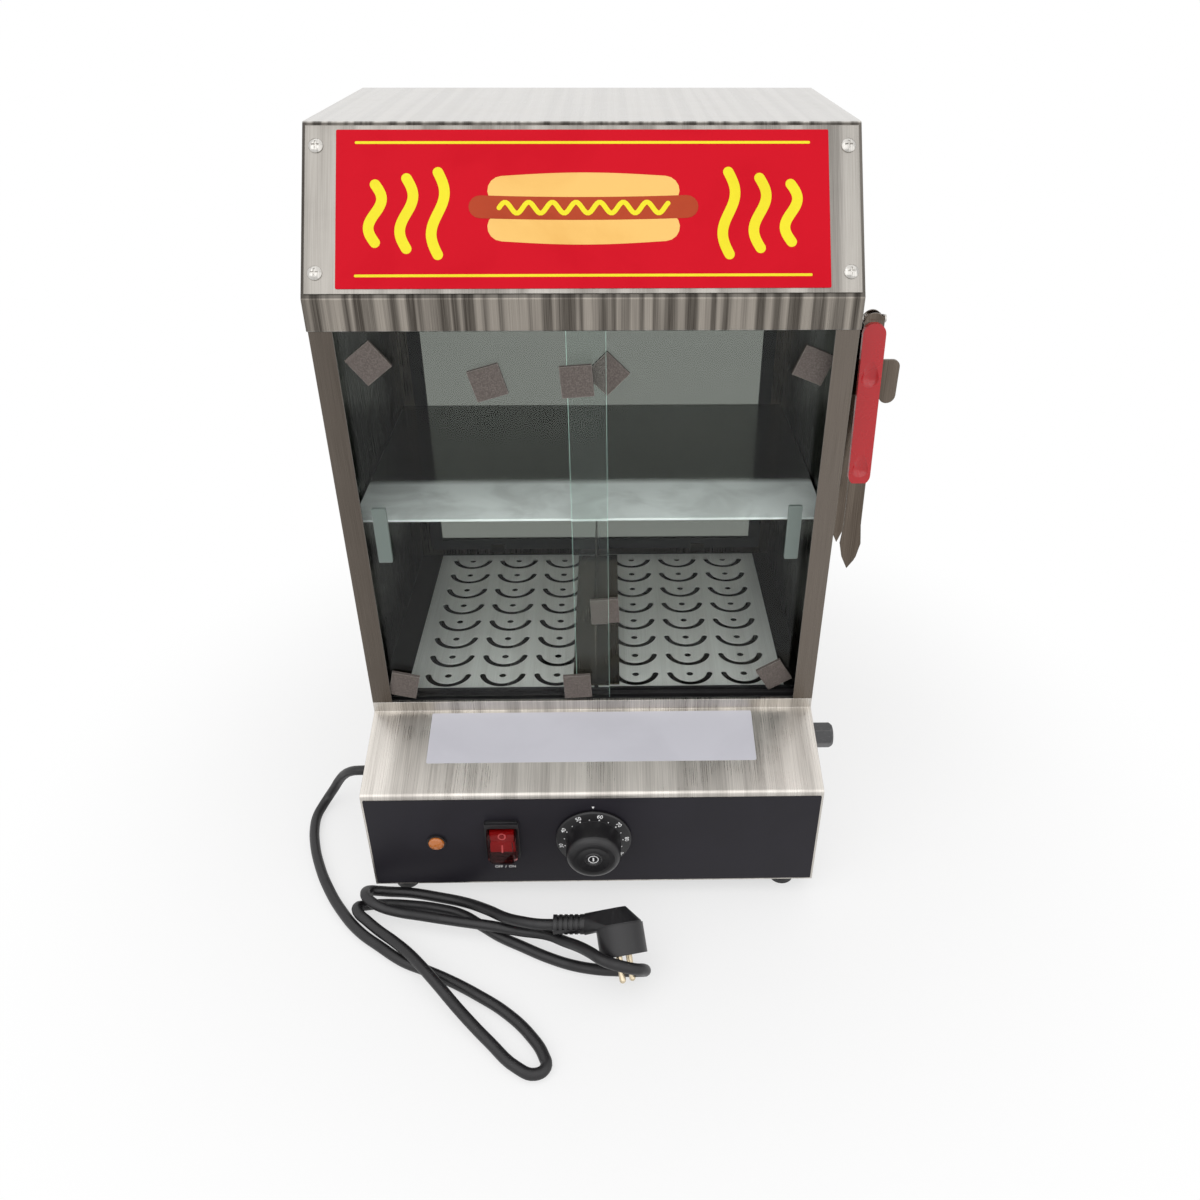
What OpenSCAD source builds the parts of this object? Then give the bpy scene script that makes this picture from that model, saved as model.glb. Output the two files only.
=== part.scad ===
// Counter-top hot dog steamer: a folded stainless cabinet with two sliding glass doors, a shelf
// above, and two pierced trays over a heated water tank below. Sizes are in millimetres.
// The drawing axes: X to the right, Y to the back from the front face, Z up from the counter.
// in_frame() then puts the origin in the middle of the bottom of everything but the power cord.

/* [Cabinet] */
// Outside width of the cabinet
body_w = 360; // [344:1:420]
// Outside depth of the cabinet
body_d = 330; // [324:1:400]
// Height of the roof over the counter
body_h = 570; // [556:1:660]
// Thickness of the cabinet's sheet steel
sheet = 1.2; // [0.8:0.1:1.5]
// Outside radius of the sheet's bends
bend_r = 3; // [2:0.25:5]
// Width of the front corner posts
post_w = 15.7; // [10:0.1:22]

/* [Base] */
// Height of the rubber feet
foot_h = 16; // [10:0.5:24]
// Diameter of a rubber foot
foot_d = 20; // [16:0.5:26]
// Distance of a foot's middle from the two outer faces next to it
foot_inset = 18; // [14:0.5:30]
// Height of the upright front face
face_h = 98.3; // [92:0.1:116]
// How far back the sloped deck runs
deck_run = 75.6; // [70:0.1:84]
// How much the sloped deck rises
deck_rise = 22.4; // [12:0.1:30]
// Height of the door rail over the deck
rail_h = 9.2; // [8:0.1:12]

/* [Hood] */
// Height of the hood's upright chin
chin_h = 21.6; // [18:0.1:28]
// How far the chin stands in front of the posts
chin_out = 3.1; // [2:0.1:5]
// How far back the sloped sign face runs
sign_run = 68.5; // [50:0.5:90]
// How much the sloped sign face rises
sign_rise = 93.8; // [80:0.1:110]
// Thickness of the sign's carrier plate
sign_plate_t = 0.8; // [0.6:0.1:1.5]
// Distance of the printed sign sheet from the side of the cabinet
sign_print_side = 22; // [18:0.5:40]
// Height of the printed sign sheet along the slope
sign_print_h = 104; // [90:0.5:106]
// Distance of a sign screw from the side of the cabinet
sign_screw_side = 9; // [6:0.5:12]
// Distance of a sign screw from the ends of the slope
sign_screw_end = 16.5; // [12:0.5:24]

/* [Doors] */
// Thickness of the door glass
glass_t = 4; // [3:0.25:5]
// Width of each sliding pane
pane_w = 190.5; // [184:0.5:200]
// Gap from a closed pane to the side wall
pane_end_gap = 1.8; // [0.6:0.1:3]
// Free room for the glass in a groove
groove_play = 0.6; // [0.6:0.1:1]
// Thickness of a track's outer walls
track_wall = 1.8; // [1.2:0.1:2.4]
// Thickness of the rib between the two grooves
track_rib = 4.2; // [4:0.1:6]
// Floor of a track under the grooves
track_floor = 2; // [1.5:0.1:3]
// How far a pane can be lifted into the upper track
pane_lift = 8; // [6:0.25:10]
// Width of a door pull
pull_w = 10.2; // [8:0.1:14]
// Length of a door pull
pull_h = 45; // [35:0.5:60]
// Thickness of a door pull
pull_t = 3; // [2:0.1:3.4]
// Height of the left pull's middle over the counter
left_pull_z = 300.5; // [240:0.5:360]
// Height of the right pull's middle over the counter
right_pull_z = 296; // [240:0.5:360]
// Distance of a pull's middle from the pane's outer edge
pull_inset = 24.5; // [18:0.5:40]
// Side of a square cork and foam spacer pad
pad_side = 22; // [16:0.5:24]
// Thickness of a spacer pad
pad_t = 3; // [2:0.1:3.4]

/* [Back window] */
// Distance of the window opening from the side of the cabinet
window_side = 21.5; // [19:0.5:40]
// Height of the window's sill over the counter
window_z = 155.5; // [150:0.5:180]
// Height of the window opening
window_h = 296; // [240:1:300]
// Thickness of the rubber channel round the glass
seal_t = 6; // [5.5:0.1:7]
// How far the rubber channel reaches past the opening
seal_lap = 9; // [7:0.5:10]
// How far the rubber channel shows inside the opening
seal_lip = 2; // [1:0.25:4]

/* [Shelf] */
// Height of the shelf's top face over the counter
shelf_z = 304; // [290:1:340]
// Thickness of the shelf
shelf_t = 2; // [1.5:0.1:4]
// Play between the shelf and each side wall
shelf_play = 1.5; // [0.8:0.1:3]
// Distance of the shelf's front edge behind the track
shelf_front_gap = 2.1; // [1:0.1:6]
// Width of a shelf ledge
ledge_w = 12; // [8:0.5:16]

/* [Water tank] */
// Thickness of the tank's sheet
tank_t = 1; // [0.8:0.1:1.5]
// Depth of the tank under its rim
tank_depth = 58; // [45:1:60]
// Distance of the tank's walls from the cabinet's side walls
tank_side_gap = 18; // [15:0.5:22]
// Distance from the front face to the tank's front wall
tank_front = 84; // [80:0.5:90]
// Distance of the tank's back wall from the back of the cabinet
tank_back_gap = 14; // [12:0.5:20]

/* [Trays] */
// Width of each pierced tray
tray_w = 156; // [148:0.5:158]
// Depth of each pierced tray
tray_d = 219; // [212:0.5:221]
// Height of a tray with its folded edge
tray_h = 6.3; // [5:0.1:8]
// Thickness of the tray sheet
tray_t = 1; // [0.8:0.1:1.5]
// Gap between the two trays
tray_gap = 3.8; // [2:0.1:6]
// How far the loose pair of trays lies to the right
tray_shift = 2.3; // [-4:0.1:4]
// Slots across one tray
slot_cols = 3; // [1:1:3]
// Slots along one tray
slot_rows = 8; // [1:1:8]
// Distance between slots across
slot_pitch_x = 46.3; // [45:0.1:48]
// Distance between slots along
slot_pitch_y = 27.1; // [26.6:0.1:27.5]
// Radius of a slot's middle line
slot_r = 17.5; // [12:0.25:18]
// Width of a slot
slot_w = 5; // [3:0.25:5.5]
// How far a slot's centre lies behind its steam hole
slot_back = 4.5; // [2:0.25:6]
// Diameter of a steam hole
steam_d = 6; // [4:0.25:8]
// Width of the divider's foot
divider_foot_w = 39; // [24:0.5:44]
// Height of the divider's web
divider_h = 80; // [40:1:100]
// Thickness of the divider's sheet
divider_t = 1; // [0.8:0.1:1.5]

/* [Heating] */
// Diameter of the heating tube
element_d = 8; // [6.5:0.1:10]
// Distance between the legs of the heating tube
element_pitch = 50; // [40:1:56]
// Height of the heating tube over the tank's floor
element_rise = 25; // [16:0.5:32]
// Length of the thermostat's sensing bulb
bulb_l = 80; // [50:1:100]
// Diameter of the sensing bulb
bulb_d = 6; // [4:0.25:8]

/* [Controls] */
// Height of the dial and the switch over the counter
control_z = 68; // [58:0.5:72]
// Diameter of the dial's numbered skirt
dial_d = 60; // [50:0.5:64]
// Diameter of the knob
knob_d = 44; // [36:0.5:46]
// How far the knob stands out of the front panel
knob_out = 24.5; // [18:0.5:30]
// Diameter of the thermostat's shaft
shaft_d = 6; // [5:0.1:7]
// Distance of the switch from the middle, to the left
switch_x = 72.5; // [62:0.5:84]
// Width of the switch bezel
switch_w = 27; // [26:0.25:30]
// Height of the switch bezel
switch_h = 40; // [37:0.5:42]
// Distance of the pilot lamp from the left side of the cabinet
lamp_side = 54.7; // [40:0.1:70]
// Height of the pilot lamp over the counter
lamp_z = 65; // [56:0.5:76]
// Diameter of the pilot lamp's rim
lamp_d = 15; // [14:0.25:18]
// Thickness of the front panel's overlay
overlay_t = 0.5; // [0.3:0.1:1]
// Steel left bare round the overlay
overlay_edge = 1.6; // [1:0.1:4]

/* [Drain] */
// Distance from the front face to the drain
drain_y = 97; // [95:0.5:104]
// Height of the drain over the tank's floor
drain_rise = 9; // [8.5:0.5:14]
// Outside diameter of the drain pipe
drain_d = 14; // [10:0.25:15]
// Bore of the drain pipe
drain_bore = 9; // [6:0.25:9.5]
// How far the drain pipe stands out of the side
drain_out = 22; // [20:0.5:30]
// Width of the hexagonal cap across its flats
cap_flats = 19; // [18.5:0.5:26]
// Length of the cap
cap_l = 20; // [16:0.5:20]

/* [Tongs] */
// Length of the tongs from the hinge pin to the tips
tongs_l = 187; // [165:1:200]
// Width of a grip
grip_w = 15.75; // [15:0.25:18]
// Length of a grip
grip_l = 117; // [90:1:120]
// Thickness of a grip over its steel arm
grip_t = 4; // [3:0.1:4.5]
// Thickness of the steel arms
arm_t = 1.2; // [1:0.1:1.5]
// Height of the hinge pin over the counter
hinge_z = 452; // [440:1:480]
// Distance from the front face to the hinge pin
hinge_y = 106.5; // [100:0.5:140]
// Distance of the tongs' middle from the side of the cabinet
tongs_out = 16; // [15:0.5:22]
// Diameter of the hinge pin
hinge_d = 3; // [2.5:0.1:4]
// Thickness of the holder plate between the arms
holder_t = 2; // [1.5:0.1:2.4]

/* [Power cord] */
// Diameter of the rubber cord
cord_d = 8.5; // [7:0.1:8.6]
// Diameter of the plug's round face
plug_d = 36; // [30:0.5:37]
// Diameter of a plug pin
pin_d = 4.8; // [4:0.1:5]
// Length of a plug pin
pin_l = 19; // [15:0.5:21]
// Distance between the plug pins
pin_pitch = 19; // [16:0.5:20]

/* [Hidden] */
$fn = 48;
gap = 0.3;                                  // running gap between moving pieces and what carries them
fit = 0.1;                                  // gap round a piece that is pressed or screwed home
side_x = body_w / 2;                        // outer face of a side wall
sign_print_w = body_w - 2 * sign_print_side;
window_w = body_w - 2 * window_side;
lamp_x = side_x - lamp_side;
wall_x = side_x - sheet;                    // inner face of a side wall
face_top = foot_h + face_h;
deck_top = face_top + deck_rise;
rail_top = deck_top + rail_h;
back_y = body_d - sheet;                    // inner face of the back frame
chin_y = deck_run - chin_out;
chin_top = body_h - sign_rise;
chin_bottom = chin_top - chin_h;
sign_y = chin_y + sign_run;
sign_l = norm([sign_run, sign_rise]);
sign_tilt = atan2(sign_rise, sign_run);
hem = 2 * sheet + 0.2;                      // the rail's doubled edge
groove = glass_t + groove_play;
track_y = deck_run + hem + 0.2;
track_w = 2 * track_wall + 2 * groove + track_rib;
front_pane_y = track_y + track_wall + groove / 2;
back_pane_y = front_pane_y + groove + track_rib;
lower_track_h = rail_top - deck_top - 0.2;
sill_z = deck_top + 0.2;                    // top of the sill that carries the lower track
sill_back = track_y + track_w + 1.2;
upper_track_z = chin_bottom + 3.4;
header_z = chin_top - 1;                    // top of the header that carries the upper track
upper_track_h = header_z - sheet - upper_track_z;
pane_bottom = sill_z + track_floor + gap;
pane_top = header_z - sheet - track_floor - pane_lift;
shelf_y = track_y + track_w + shelf_front_gap;
shelf_back = back_y - seal_t - 2;
rim_z = sill_z - sheet;                     // top of the tank's rim, under the sill
tank_x = wall_x - tank_side_gap;
tank_back = body_d - tank_back_gap;
tank_floor = rim_z - tank_depth;
tray_z = sill_z + gap;                      // bottom of the trays' folded edges
tray_top = tray_z + tray_h;
tray_y = sill_back + 0.6;
tray_mid = (tray_w + tray_gap) / 2;         // from the divider to the middle of a tray
frame_lap = 8;                              // how far the tray frame reaches under the trays
first_slot_y = tray_y + slot_r + slot_w / 2 - slot_back + 2.4;
divider_y = tray_y + 3;
divider_l = tray_d - 6;
element_z = tank_floor + tank_t + element_rise;
element_bend = element_pitch / 2;
element_back = tank_back - tank_t - element_bend - element_d - 12;
element_front = tank_front + element_bend + element_d + 24;
bushing_flats = element_d + 9;
overlay_y = -overlay_t;
skirt_y = overlay_y - 1;                    // back of the dial's skirt
knob_y = overlay_y - knob_out;
rocker_w = switch_w - 8;
rocker_r = switch_h / 2 - 7.6;
rocker_y = 2;                               // the rocker's pivot behind the front face
bezel_t = 2.5;
cover_out = 10.5;                           // how far the switch cover stands off its bezel
drain_z = tank_floor + tank_t + drain_rise;
cap_x = side_x + drain_out - cap_l + 4.6;   // open end of the cap
gasket_t = 3;
locknut_t = cap_x - side_x - gasket_t - gap;
tongs_x = side_x + tongs_out;
holder_end = tongs_x + 23;                  // outer edge of the tongs' holder
holder_low = hinge_z - 61;
holder_high = hinge_z - 29;
origin_x = (holder_end - side_x) / 2;
origin_y = (body_d + knob_y) / 2;
pad_lift = rail_top + 1.2;                  // the pads stay above the rail
// Pads on the left, front pane and on the right, back pane: place across, share of the pane's height, turn
left_pads = [[-144.5, 0.901, 38], [-66.5, 0.858, 16], [-6.5, 0.86, 4], [-153, 0.069, -14], [-12.5, 0.06, 3]];
right_pads = [[14, 0.867, 45], [154.5, 0.883, -22], [10.5, 0.269, 3], [149, 0.067, 32]];
gland_l = 20;
gland_y = 96;
gland_z = 53;
cord_r = cord_d / 2;
// The plug leans on its pins: its axis points to the front and down
plug_at = [23, -81.5, 27];
plug_tilt = 37;
plug_turn = 11;
plug_roll = 30;
relief_l = 24;
relief_end = [-31, -57, 33];
// The cord's route from the gland, over the counter and into the plug
cord_points = [
    [-side_x - gland_l, gland_y, gland_z], [-207, 96, 53], [-216, 99, 49.5], [-225, 104, 41], [-233, 109, 29],
    [-240, 111, 17], [-246, 109, 8.5], [-250, 101, 5], [-252, 90, 4.5], [-251, 76, 4.5], [-246, 56, 4.5], [-236, 31, 4.5],
    [-222, 5, 4.5], [-206, -18, 4.5], [-188, -38, 4.5], [-167, -54, 4.5], [-148, -67, 4.5], [-130, -75, 4.5],
    [-111, -84, 4.5], [-88, -97, 4.5], [-63, -114, 4.5], [-44, -133, 4.5], [-35, -147, 4.5], [-33, -156, 4.5],
    [-40, -161, 4.5], [-53, -156, 4.5], [-74, -137, 5.5], [-97, -115, 9.5], [-119, -92, 14], [-131, -79, 14.5],
    [-143, -66, 13], [-157, -53, 11], [-171, -41, 8.5], [-183, -31, 9], [-190.5, -24, 9.2], [-193, -17, 8],
    [-188, -13, 5], [-177, -11.5, 4.5], [-151, -13, 4.5], [-127, -17, 4.5], [-108, -23, 4.5], [-91, -34, 4.5],
    [-75, -45, 4.5], [-58, -54, 4.5], [-34, -66, 4.5], [-15, -73, 4.5], [5, -77, 4.5], [18, -78, 4.5],
    [28, -79, 4.8], [35, -82, 9], [38.7, -87, 16], [37.5, -92.5, 25], [31, -98, 33], [21, -99.5, 38.5],
    [8, -95.5, 40], [-2, -86, 37], [-11, -76, 31], [-22, -65, 23], [-36, -54, 17], [-59, -47, 13.6], [-81, -42, 13.5],
    [-115, -36, 14], [-140, -31, 14], [-157, -27.5, 14], [-172, -23, 15], [-182, -17, 15.5], [-187.5, -9, 14],
    [-187, -1, 9], [-181, 2, 5.2], [-171, 1.5, 4.5], [-153, 0, 4.5], [-129, -5, 4.5], [-105, -14, 8], [-86, -28, 16],
    [-69, -43, 24.3], [-55, -52, 30.5], [-42, -56.5, 33], relief_end];

// ---- helpers ----

// Moves a piece from the drawing axes to the part's own frame
module in_frame() {
    translate([-origin_x, -origin_y, 0]) children();
}

// Direction of a path's leg i, the first and last legs repeated past its ends
function heading(path, i) =
    let (k = min(max(i, 0), len(path) - 2))
    (path[k + 1] - path[k]) / norm(path[k + 1] - path[k]);

// The path moved sideways by d, to its left, with mitred corners
function beside(path, d) = [
    for (i = [0 : len(path) - 1])
        let (a = heading(path, i - 1), b = heading(path, i), m = [-a.y - b.y, a.x + b.x])
        path[i] + 2 * d * m / (m * m)];

// A corner rounded to radius r between the points before and after it
function bend(before, corner, after, r, steps = 5) =
    let (a = (before - corner) / norm(before - corner), b = (after - corner) / norm(after - corner),
         half = acos(a * b) / 2, turn = 180 - 2 * half,
         mid = corner + (a + b) / norm(a + b) * r / sin(half),
         first = corner + a * r / tan(half) - mid, last = corner + b * r / tan(half) - mid)
    [for (k = [0 : steps]) let (s = k / steps)
        mid + (sin((1 - s) * turn) * first + sin(s * turn) * last) / sin(turn)];

function reversed(list) = [for (i = [len(list) - 1 : -1 : 0]) list[i]];

// A sheet of thickness t that follows a path in the YZ plane, on the path's right
module folded(path, t, half_w) {
    along_x(-half_w, half_w) polygon(concat(path, reversed(beside(path, -t))));
}

// Extrudes a YZ outline from x0 to x1
module along_x(x0, x1) {
    translate([x0, 0, 0]) rotate([90, 0, 90]) linear_extrude(x1 - x0) children();
}

// Extrudes an XZ outline from y0 back to y1
module along_y(y0, y1) {
    translate([0, y1, 0]) rotate([90, 0, 0]) linear_extrude(y1 - y0) children();
}

// A round rod along X, along Y
module rod_x(x0, x1, y, z, d) {
    translate([x0, y, z]) rotate([0, 90, 0]) cylinder(h = x1 - x0, d = d);
}

module rod_y(x, y0, y1, z, d) {
    translate([x, y0, z]) rotate([-90, 0, 0]) cylinder(h = y1 - y0, d = d);
}

module box(x0, x1, y0, y1, z0, z1) {
    translate([x0, y0, z0]) cube([x1 - x0, y1 - y0, z1 - z0]);
}

// A rectangle about its middle with round corners
module rounded_rect(w, h, r) {
    square([w - 2 * r, h], center = true);
    square([w, h - 2 * r], center = true);
    for (sx = [-1, 1], sz = [-1, 1]) translate([sx * (w / 2 - r), sz * (h / 2 - r)]) circle(r);
}

// Puts flat work on the sign slope: X across, Y up the slope from the chin, Z out of the face
module on_sign() {
    translate([0, chin_y, chin_top]) rotate([sign_tilt, 0, 0]) children();
}

// ---- outlines of the folded sheets, front to the left, in Y and Z ----

face_bend = bend([0, foot_h], [0, face_top], [deck_run, deck_top], bend_r);
face_path = concat([[0, foot_h]], face_bend, [[deck_run, deck_top], [deck_run, rail_top]]);
sill_path = [[deck_run, rail_top], [deck_run + hem, rail_top], [deck_run + hem, sill_z], [sill_back, sill_z]];

function hood_path(back) = concat(
    [[deck_run, chin_bottom]],
    bend([deck_run + bend_r, chin_bottom], [chin_y, chin_bottom], [chin_y, chin_top], min(1.6, chin_out - 1)),
    bend([chin_y, chin_bottom], [chin_y, chin_top], [sign_y, body_h], bend_r),
    bend([chin_y, chin_top], [sign_y, body_h], [back, body_h], bend_r),
    [[back, body_h]]);

side_outline = concat(
    beside(face_path, -sheet), [[deck_run, rail_top]],
    beside(hood_path(back_y), -sheet), [[back_y, foot_h]]);

// ---- cabinet ----

module base_pan() {
    color("silver") in_frame() difference() {
        union() {
            box(-wall_x, wall_x, sheet, back_y, foot_h, foot_h + sheet);
            for (s = [-1, 1]) box(s * wall_x - (s + 1) / 2 * sheet, s * wall_x + (1 - s) / 2 * sheet,
                                  sheet, back_y, foot_h, foot_h + 12);
            for (y = [sheet, back_y - sheet]) box(-wall_x, wall_x, y, y + sheet, foot_h, foot_h + 12);
        }
        each_foot() cylinder(h = foot_h + 12, d = 4.4);
        // vent slots under the controls
        for (x = [-90 : 20 : 90]) translate([x, 46, foot_h + sheet / 2])
            linear_extrude(3 * sheet, center = true) rotate(90) rounded_rect(36, 5, 2.4);
    }
}

module front_shell() {
    color("gainsboro") in_frame() difference() {
        union() {
            folded(face_path, sheet, side_x);
            folded(sill_path, sheet, wall_x);
        }
        front_holes(sheet + 1);
    }
}

// The holes for the shaft, the switch and the lamp in the upright front
module front_holes(depth) {
    along_y(-1, depth) {
        translate([0, control_z]) circle(d = shaft_d + 4);
        translate([-switch_x, control_z]) square([switch_w - 4, switch_h - 8], center = true);
        translate([-lamp_x, lamp_z]) circle(d = lamp_d - 2.6);
    }
}

module side_panel(side) {
    difference() {
        union() {
            along_x(side > 0 ? wall_x : -side_x, side > 0 ? side_x : -wall_x) polygon(side_outline);
            // the front post, folded in from the side
            box(side > 0 ? side_x - post_w : -side_x, side > 0 ? side_x : post_w - side_x,
                deck_run, deck_run + sheet, rail_top, chin_bottom + 2 * sheet + 6);
        }
        // keeps the post clear of the hood's folded lip
        box(-side_x - 1, side_x + 1, deck_run - 1, deck_run + gap, chin_bottom, chin_bottom + sheet);
    }
}

module left_side_panel() {
    color("silver") in_frame() difference() {
        side_panel(-1);
        rod_x(-side_x - 1, -wall_x + 1, gland_y, gland_z, cord_d + 5.5);
    }
}

module right_side_panel() {
    color("silver") in_frame() difference() {
        side_panel(1);
        rod_x(wall_x - 1, side_x + 1, drain_y, drain_z, drain_d + 1);
        for (p = rivet_places()) rod_x(wall_x - 1, side_x + 1, p.x, p.y, 4);
    }
}

module back_frame() {
    mid = window_z + window_h / 2;
    color("silver") in_frame() difference() {
        along_y(back_y, body_d) polygon([
            [-side_x, foot_h], [side_x, foot_h], [side_x, body_h - sheet], [-side_x, body_h - sheet]]);
        translate([0, back_y, mid]) rotate([90, 0, 0])
            linear_extrude(4 * sheet, center = true) rounded_rect(window_w, window_h, 3);
    }
}

module hood_shell() {
    color("gainsboro") in_frame() difference() {
        folded(hood_path(body_d), sheet, side_x);
        each_sign_screw() translate([0, 0, -4]) cylinder(h = 8, d = 3.4);
    }
}

module each_sign_screw() {
    for (sx = [-1, 1], v = [sign_screw_end, sign_l - sign_screw_end])
        on_sign() translate([sx * (side_x - sign_screw_side), v, 0]) children();
}

module sign_plate() {
    color("gainsboro") in_frame() difference() {
        on_sign() translate([0, sign_l / 2, 0])
            linear_extrude(sign_plate_t) square([body_w - 4, sign_l - 2 * bend_r], center = true);
        each_sign_screw() translate([0, 0, -1]) cylinder(h = 4, d = 3.4);
    }
}

module sign_print() {
    color("crimson") in_frame() on_sign() translate([0, sign_l / 2, sign_plate_t])
        linear_extrude(0.4) rounded_rect(sign_print_w, sign_print_h, 1);
}

module sign_screws() {
    color("silver") in_frame() each_sign_screw() {
        translate([0, 0, -6]) cylinder(h = 6 + sign_plate_t, d = 3.2);
        translate([0, 0, sign_plate_t]) difference() {
            intersection() {
                cylinder(h = 2.4, d = 9.5);
                translate([0, 0, -4.6]) sphere(7);
            }
            translate([0, 0, 1.2]) for (a = [0, 90]) rotate(a) translate([-2.6, -0.5, 0]) cube([5.2, 1, 2]);
        }
    }
}

module control_overlay() {
    h = face_h - 2 * overlay_edge - bend_r;
    color("#28262c") in_frame() difference() {
        translate([0, 0, foot_h + overlay_edge + h / 2]) rotate([90, 0, 0])
            linear_extrude(overlay_t) rounded_rect(body_w - 2 * overlay_edge, h, 1);
        front_holes(1);
    }
}

// ---- doors ----

module door_header() {
    path = [[chin_y + sheet, upper_track_z], [chin_y + sheet, header_z], [track_y + track_w, header_z]];
    color("silver") in_frame() folded(path, sheet, wall_x);
}

module upper_door_track() {
    color("#1c1c1e") in_frame() difference() {
        box(-wall_x, wall_x, track_y, track_y + track_w, upper_track_z, upper_track_z + upper_track_h);
        for (y = [front_pane_y, back_pane_y])
            box(-side_x, side_x, y - groove / 2, y + groove / 2,
                upper_track_z - 1, upper_track_z + upper_track_h - track_floor);
    }
}

module lower_door_track() {
    color("#1c1c1e") in_frame() difference() {
        box(-wall_x, wall_x, track_y, track_y + track_w, sill_z, sill_z + lower_track_h);
        for (y = [front_pane_y, back_pane_y])
            box(-side_x, side_x, y - groove / 2, y + groove / 2, sill_z + track_floor, rail_top + 1);
    }
}

module pane(x0, y) {
    box(x0, x0 + pane_w, y - glass_t / 2, y + glass_t / 2, pane_bottom, pane_top);
}

module pull(x, y, z) {
    translate([x, y - glass_t / 2, z]) rotate([90, 0, 0]) linear_extrude(pull_t) rounded_rect(pull_w, pull_h, 1);
}

module pads(places, y) {
    for (p = places) translate([p.x, y - glass_t / 2,
        max(pane_bottom + p.y * (pane_top - pane_bottom), pad_lift + pad_side / 2 * (abs(cos(p.z)) + abs(sin(p.z))))])
        rotate([90, -p.z, 0]) linear_extrude(pad_t) square(pad_side, center = true);
}

module left_door_glass() {
    color("lightblue", 0.4) in_frame() pane(pane_end_gap - wall_x, front_pane_y);
}

module left_door_pull() {
    color("azure") in_frame() pull(pane_end_gap - wall_x + pull_inset, front_pane_y, left_pull_z);
}

module left_door_pads() {
    color("rosybrown") in_frame() pads(left_pads, front_pane_y);
}

module right_door_glass() {
    color("lightblue", 0.4) in_frame() pane(wall_x - pane_end_gap - pane_w, back_pane_y);
}

module right_door_pull() {
    color("azure") in_frame() pull(wall_x - pane_end_gap - pull_inset, back_pane_y, right_pull_z);
}

module right_door_pads() {
    color("rosybrown") in_frame() pads(right_pads, back_pane_y);
}

// ---- back window ----

window_mid = window_z + window_h / 2;
window_glass_w = window_w + 2 * seal_lap - 8;
window_glass_h = window_h + 2 * seal_lap - 8;
window_glass_y = back_y - seal_t / 2;

module back_window() {
    color("lightblue", 0.4) in_frame() translate([0, window_glass_y, window_mid])
        cube([window_glass_w, glass_t, window_glass_h], center = true);
}

module back_window_seal() {
    color("#202022") in_frame() difference() {
        translate([0, window_glass_y, window_mid]) rotate([90, 0, 0]) linear_extrude(seal_t, center = true)
            rounded_rect(window_w + 2 * seal_lap, window_h + 2 * seal_lap, 4);
        translate([0, window_glass_y, window_mid]) {
            cube([window_w - 2 * seal_lip, 2 * seal_t, window_h - 2 * seal_lip], center = true);
            cube([window_glass_w, glass_t, window_glass_h], center = true);
        }
    }
}

// Folded clips, two under and two over the glass, that hold its rubber channel to the frame
module back_window_clips() {
    clip_w = 14;
    clip_t = 1.5;
    lap = 6;
    color("silver") in_frame() for (x = [-100, 104], end = [-1, 1]) {
        edge = window_mid + end * (window_h / 2 + seal_lap);
        face = back_y - seal_t;
        translate([x - clip_w / 2, 0, edge]) mirror([0, 0, end > 0 ? 0 : 1]) {
            box(0, clip_w, face - clip_t, face, -lap, clip_t);
            box(0, clip_w, face - clip_t, back_y, 0, clip_t);
            box(0, clip_w, back_y - clip_t, back_y, 0, 6);
        }
    }
}

// ---- shelf ----

module shelf() {
    w = wall_x - shelf_play;
    color("lightgray") in_frame() box(-w, w, shelf_y, shelf_back, shelf_z - shelf_t, shelf_z);
}

module shelf_ledge(side) {
    top = shelf_z - shelf_t - gap;
    mirror([side > 0 ? 0 : 1, 0, 0]) {
        box(wall_x - ledge_w, wall_x, shelf_y + 6, shelf_back - 2, top - sheet, top);
        box(wall_x - sheet, wall_x, shelf_y + 6, shelf_back - 2, top - 12, top);
    }
}

module left_shelf_ledge() {
    color("silver") in_frame() shelf_ledge(-1);
}

module right_shelf_ledge() {
    color("silver") in_frame() shelf_ledge(1);
}

// ---- water tank and trays ----

module water_tank() {
    color("silver") in_frame() difference() {
        union() {
            box(-tank_x, tank_x, tank_front, tank_back, tank_floor, rim_z);
            box(-wall_x, wall_x, deck_run + sheet + 0.4, back_y, rim_z - tank_t, rim_z);
        }
        box(tank_t - tank_x, tank_x - tank_t, tank_front + tank_t, tank_back - tank_t,
            tank_floor + tank_t, rim_z + 1);
        rod_x(tank_x - 2 * tank_t, tank_x + 1, drain_y, drain_z, drain_d);
        for (s = [-1, 1]) rod_y(s * 3 * element_bend, tank_front - 1, tank_front + 2, element_z, element_d);
        rod_y(capillary_x, tank_front - 1, tank_front + 2, capillary_z, 2.4);
    }
}

// A frame on the tank's rim that carries the trays at their edges and in the middle
module tray_frame() {
    outer = tray_mid + tray_w / 2 - frame_lap;
    color("silver") in_frame() difference() {
        box(-wall_x, wall_x, sill_back, back_y, rim_z, sill_z);
        for (s = [-1, 1]) translate([tray_shift, 0, 0]) mirror([s > 0 ? 0 : 1, 0, 0])
            box(frame_lap + 2, outer, tray_y + 4, tray_y + tray_d - frame_lap, rim_z - 1, sill_z + 1);
    }
}

// One U-shaped slot, open to the back, about its circle's centre, and its steam hole
module smile_slot() {
    reach = 77;
    intersection() {
        difference() {
            circle(slot_r + slot_w / 2);
            circle(slot_r - slot_w / 2);
        }
        polygon(concat([[0, 0]], [for (a = [-90 - reach : reach / 2 : -90 + reach])
            2 * slot_r * [cos(a), sin(a)]]));
    }
    for (a = [-90 - reach, -90 + reach]) translate(slot_r * [cos(a), sin(a)]) circle(d = slot_w);
    translate([0, -slot_back]) circle(d = steam_d);
}

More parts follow.
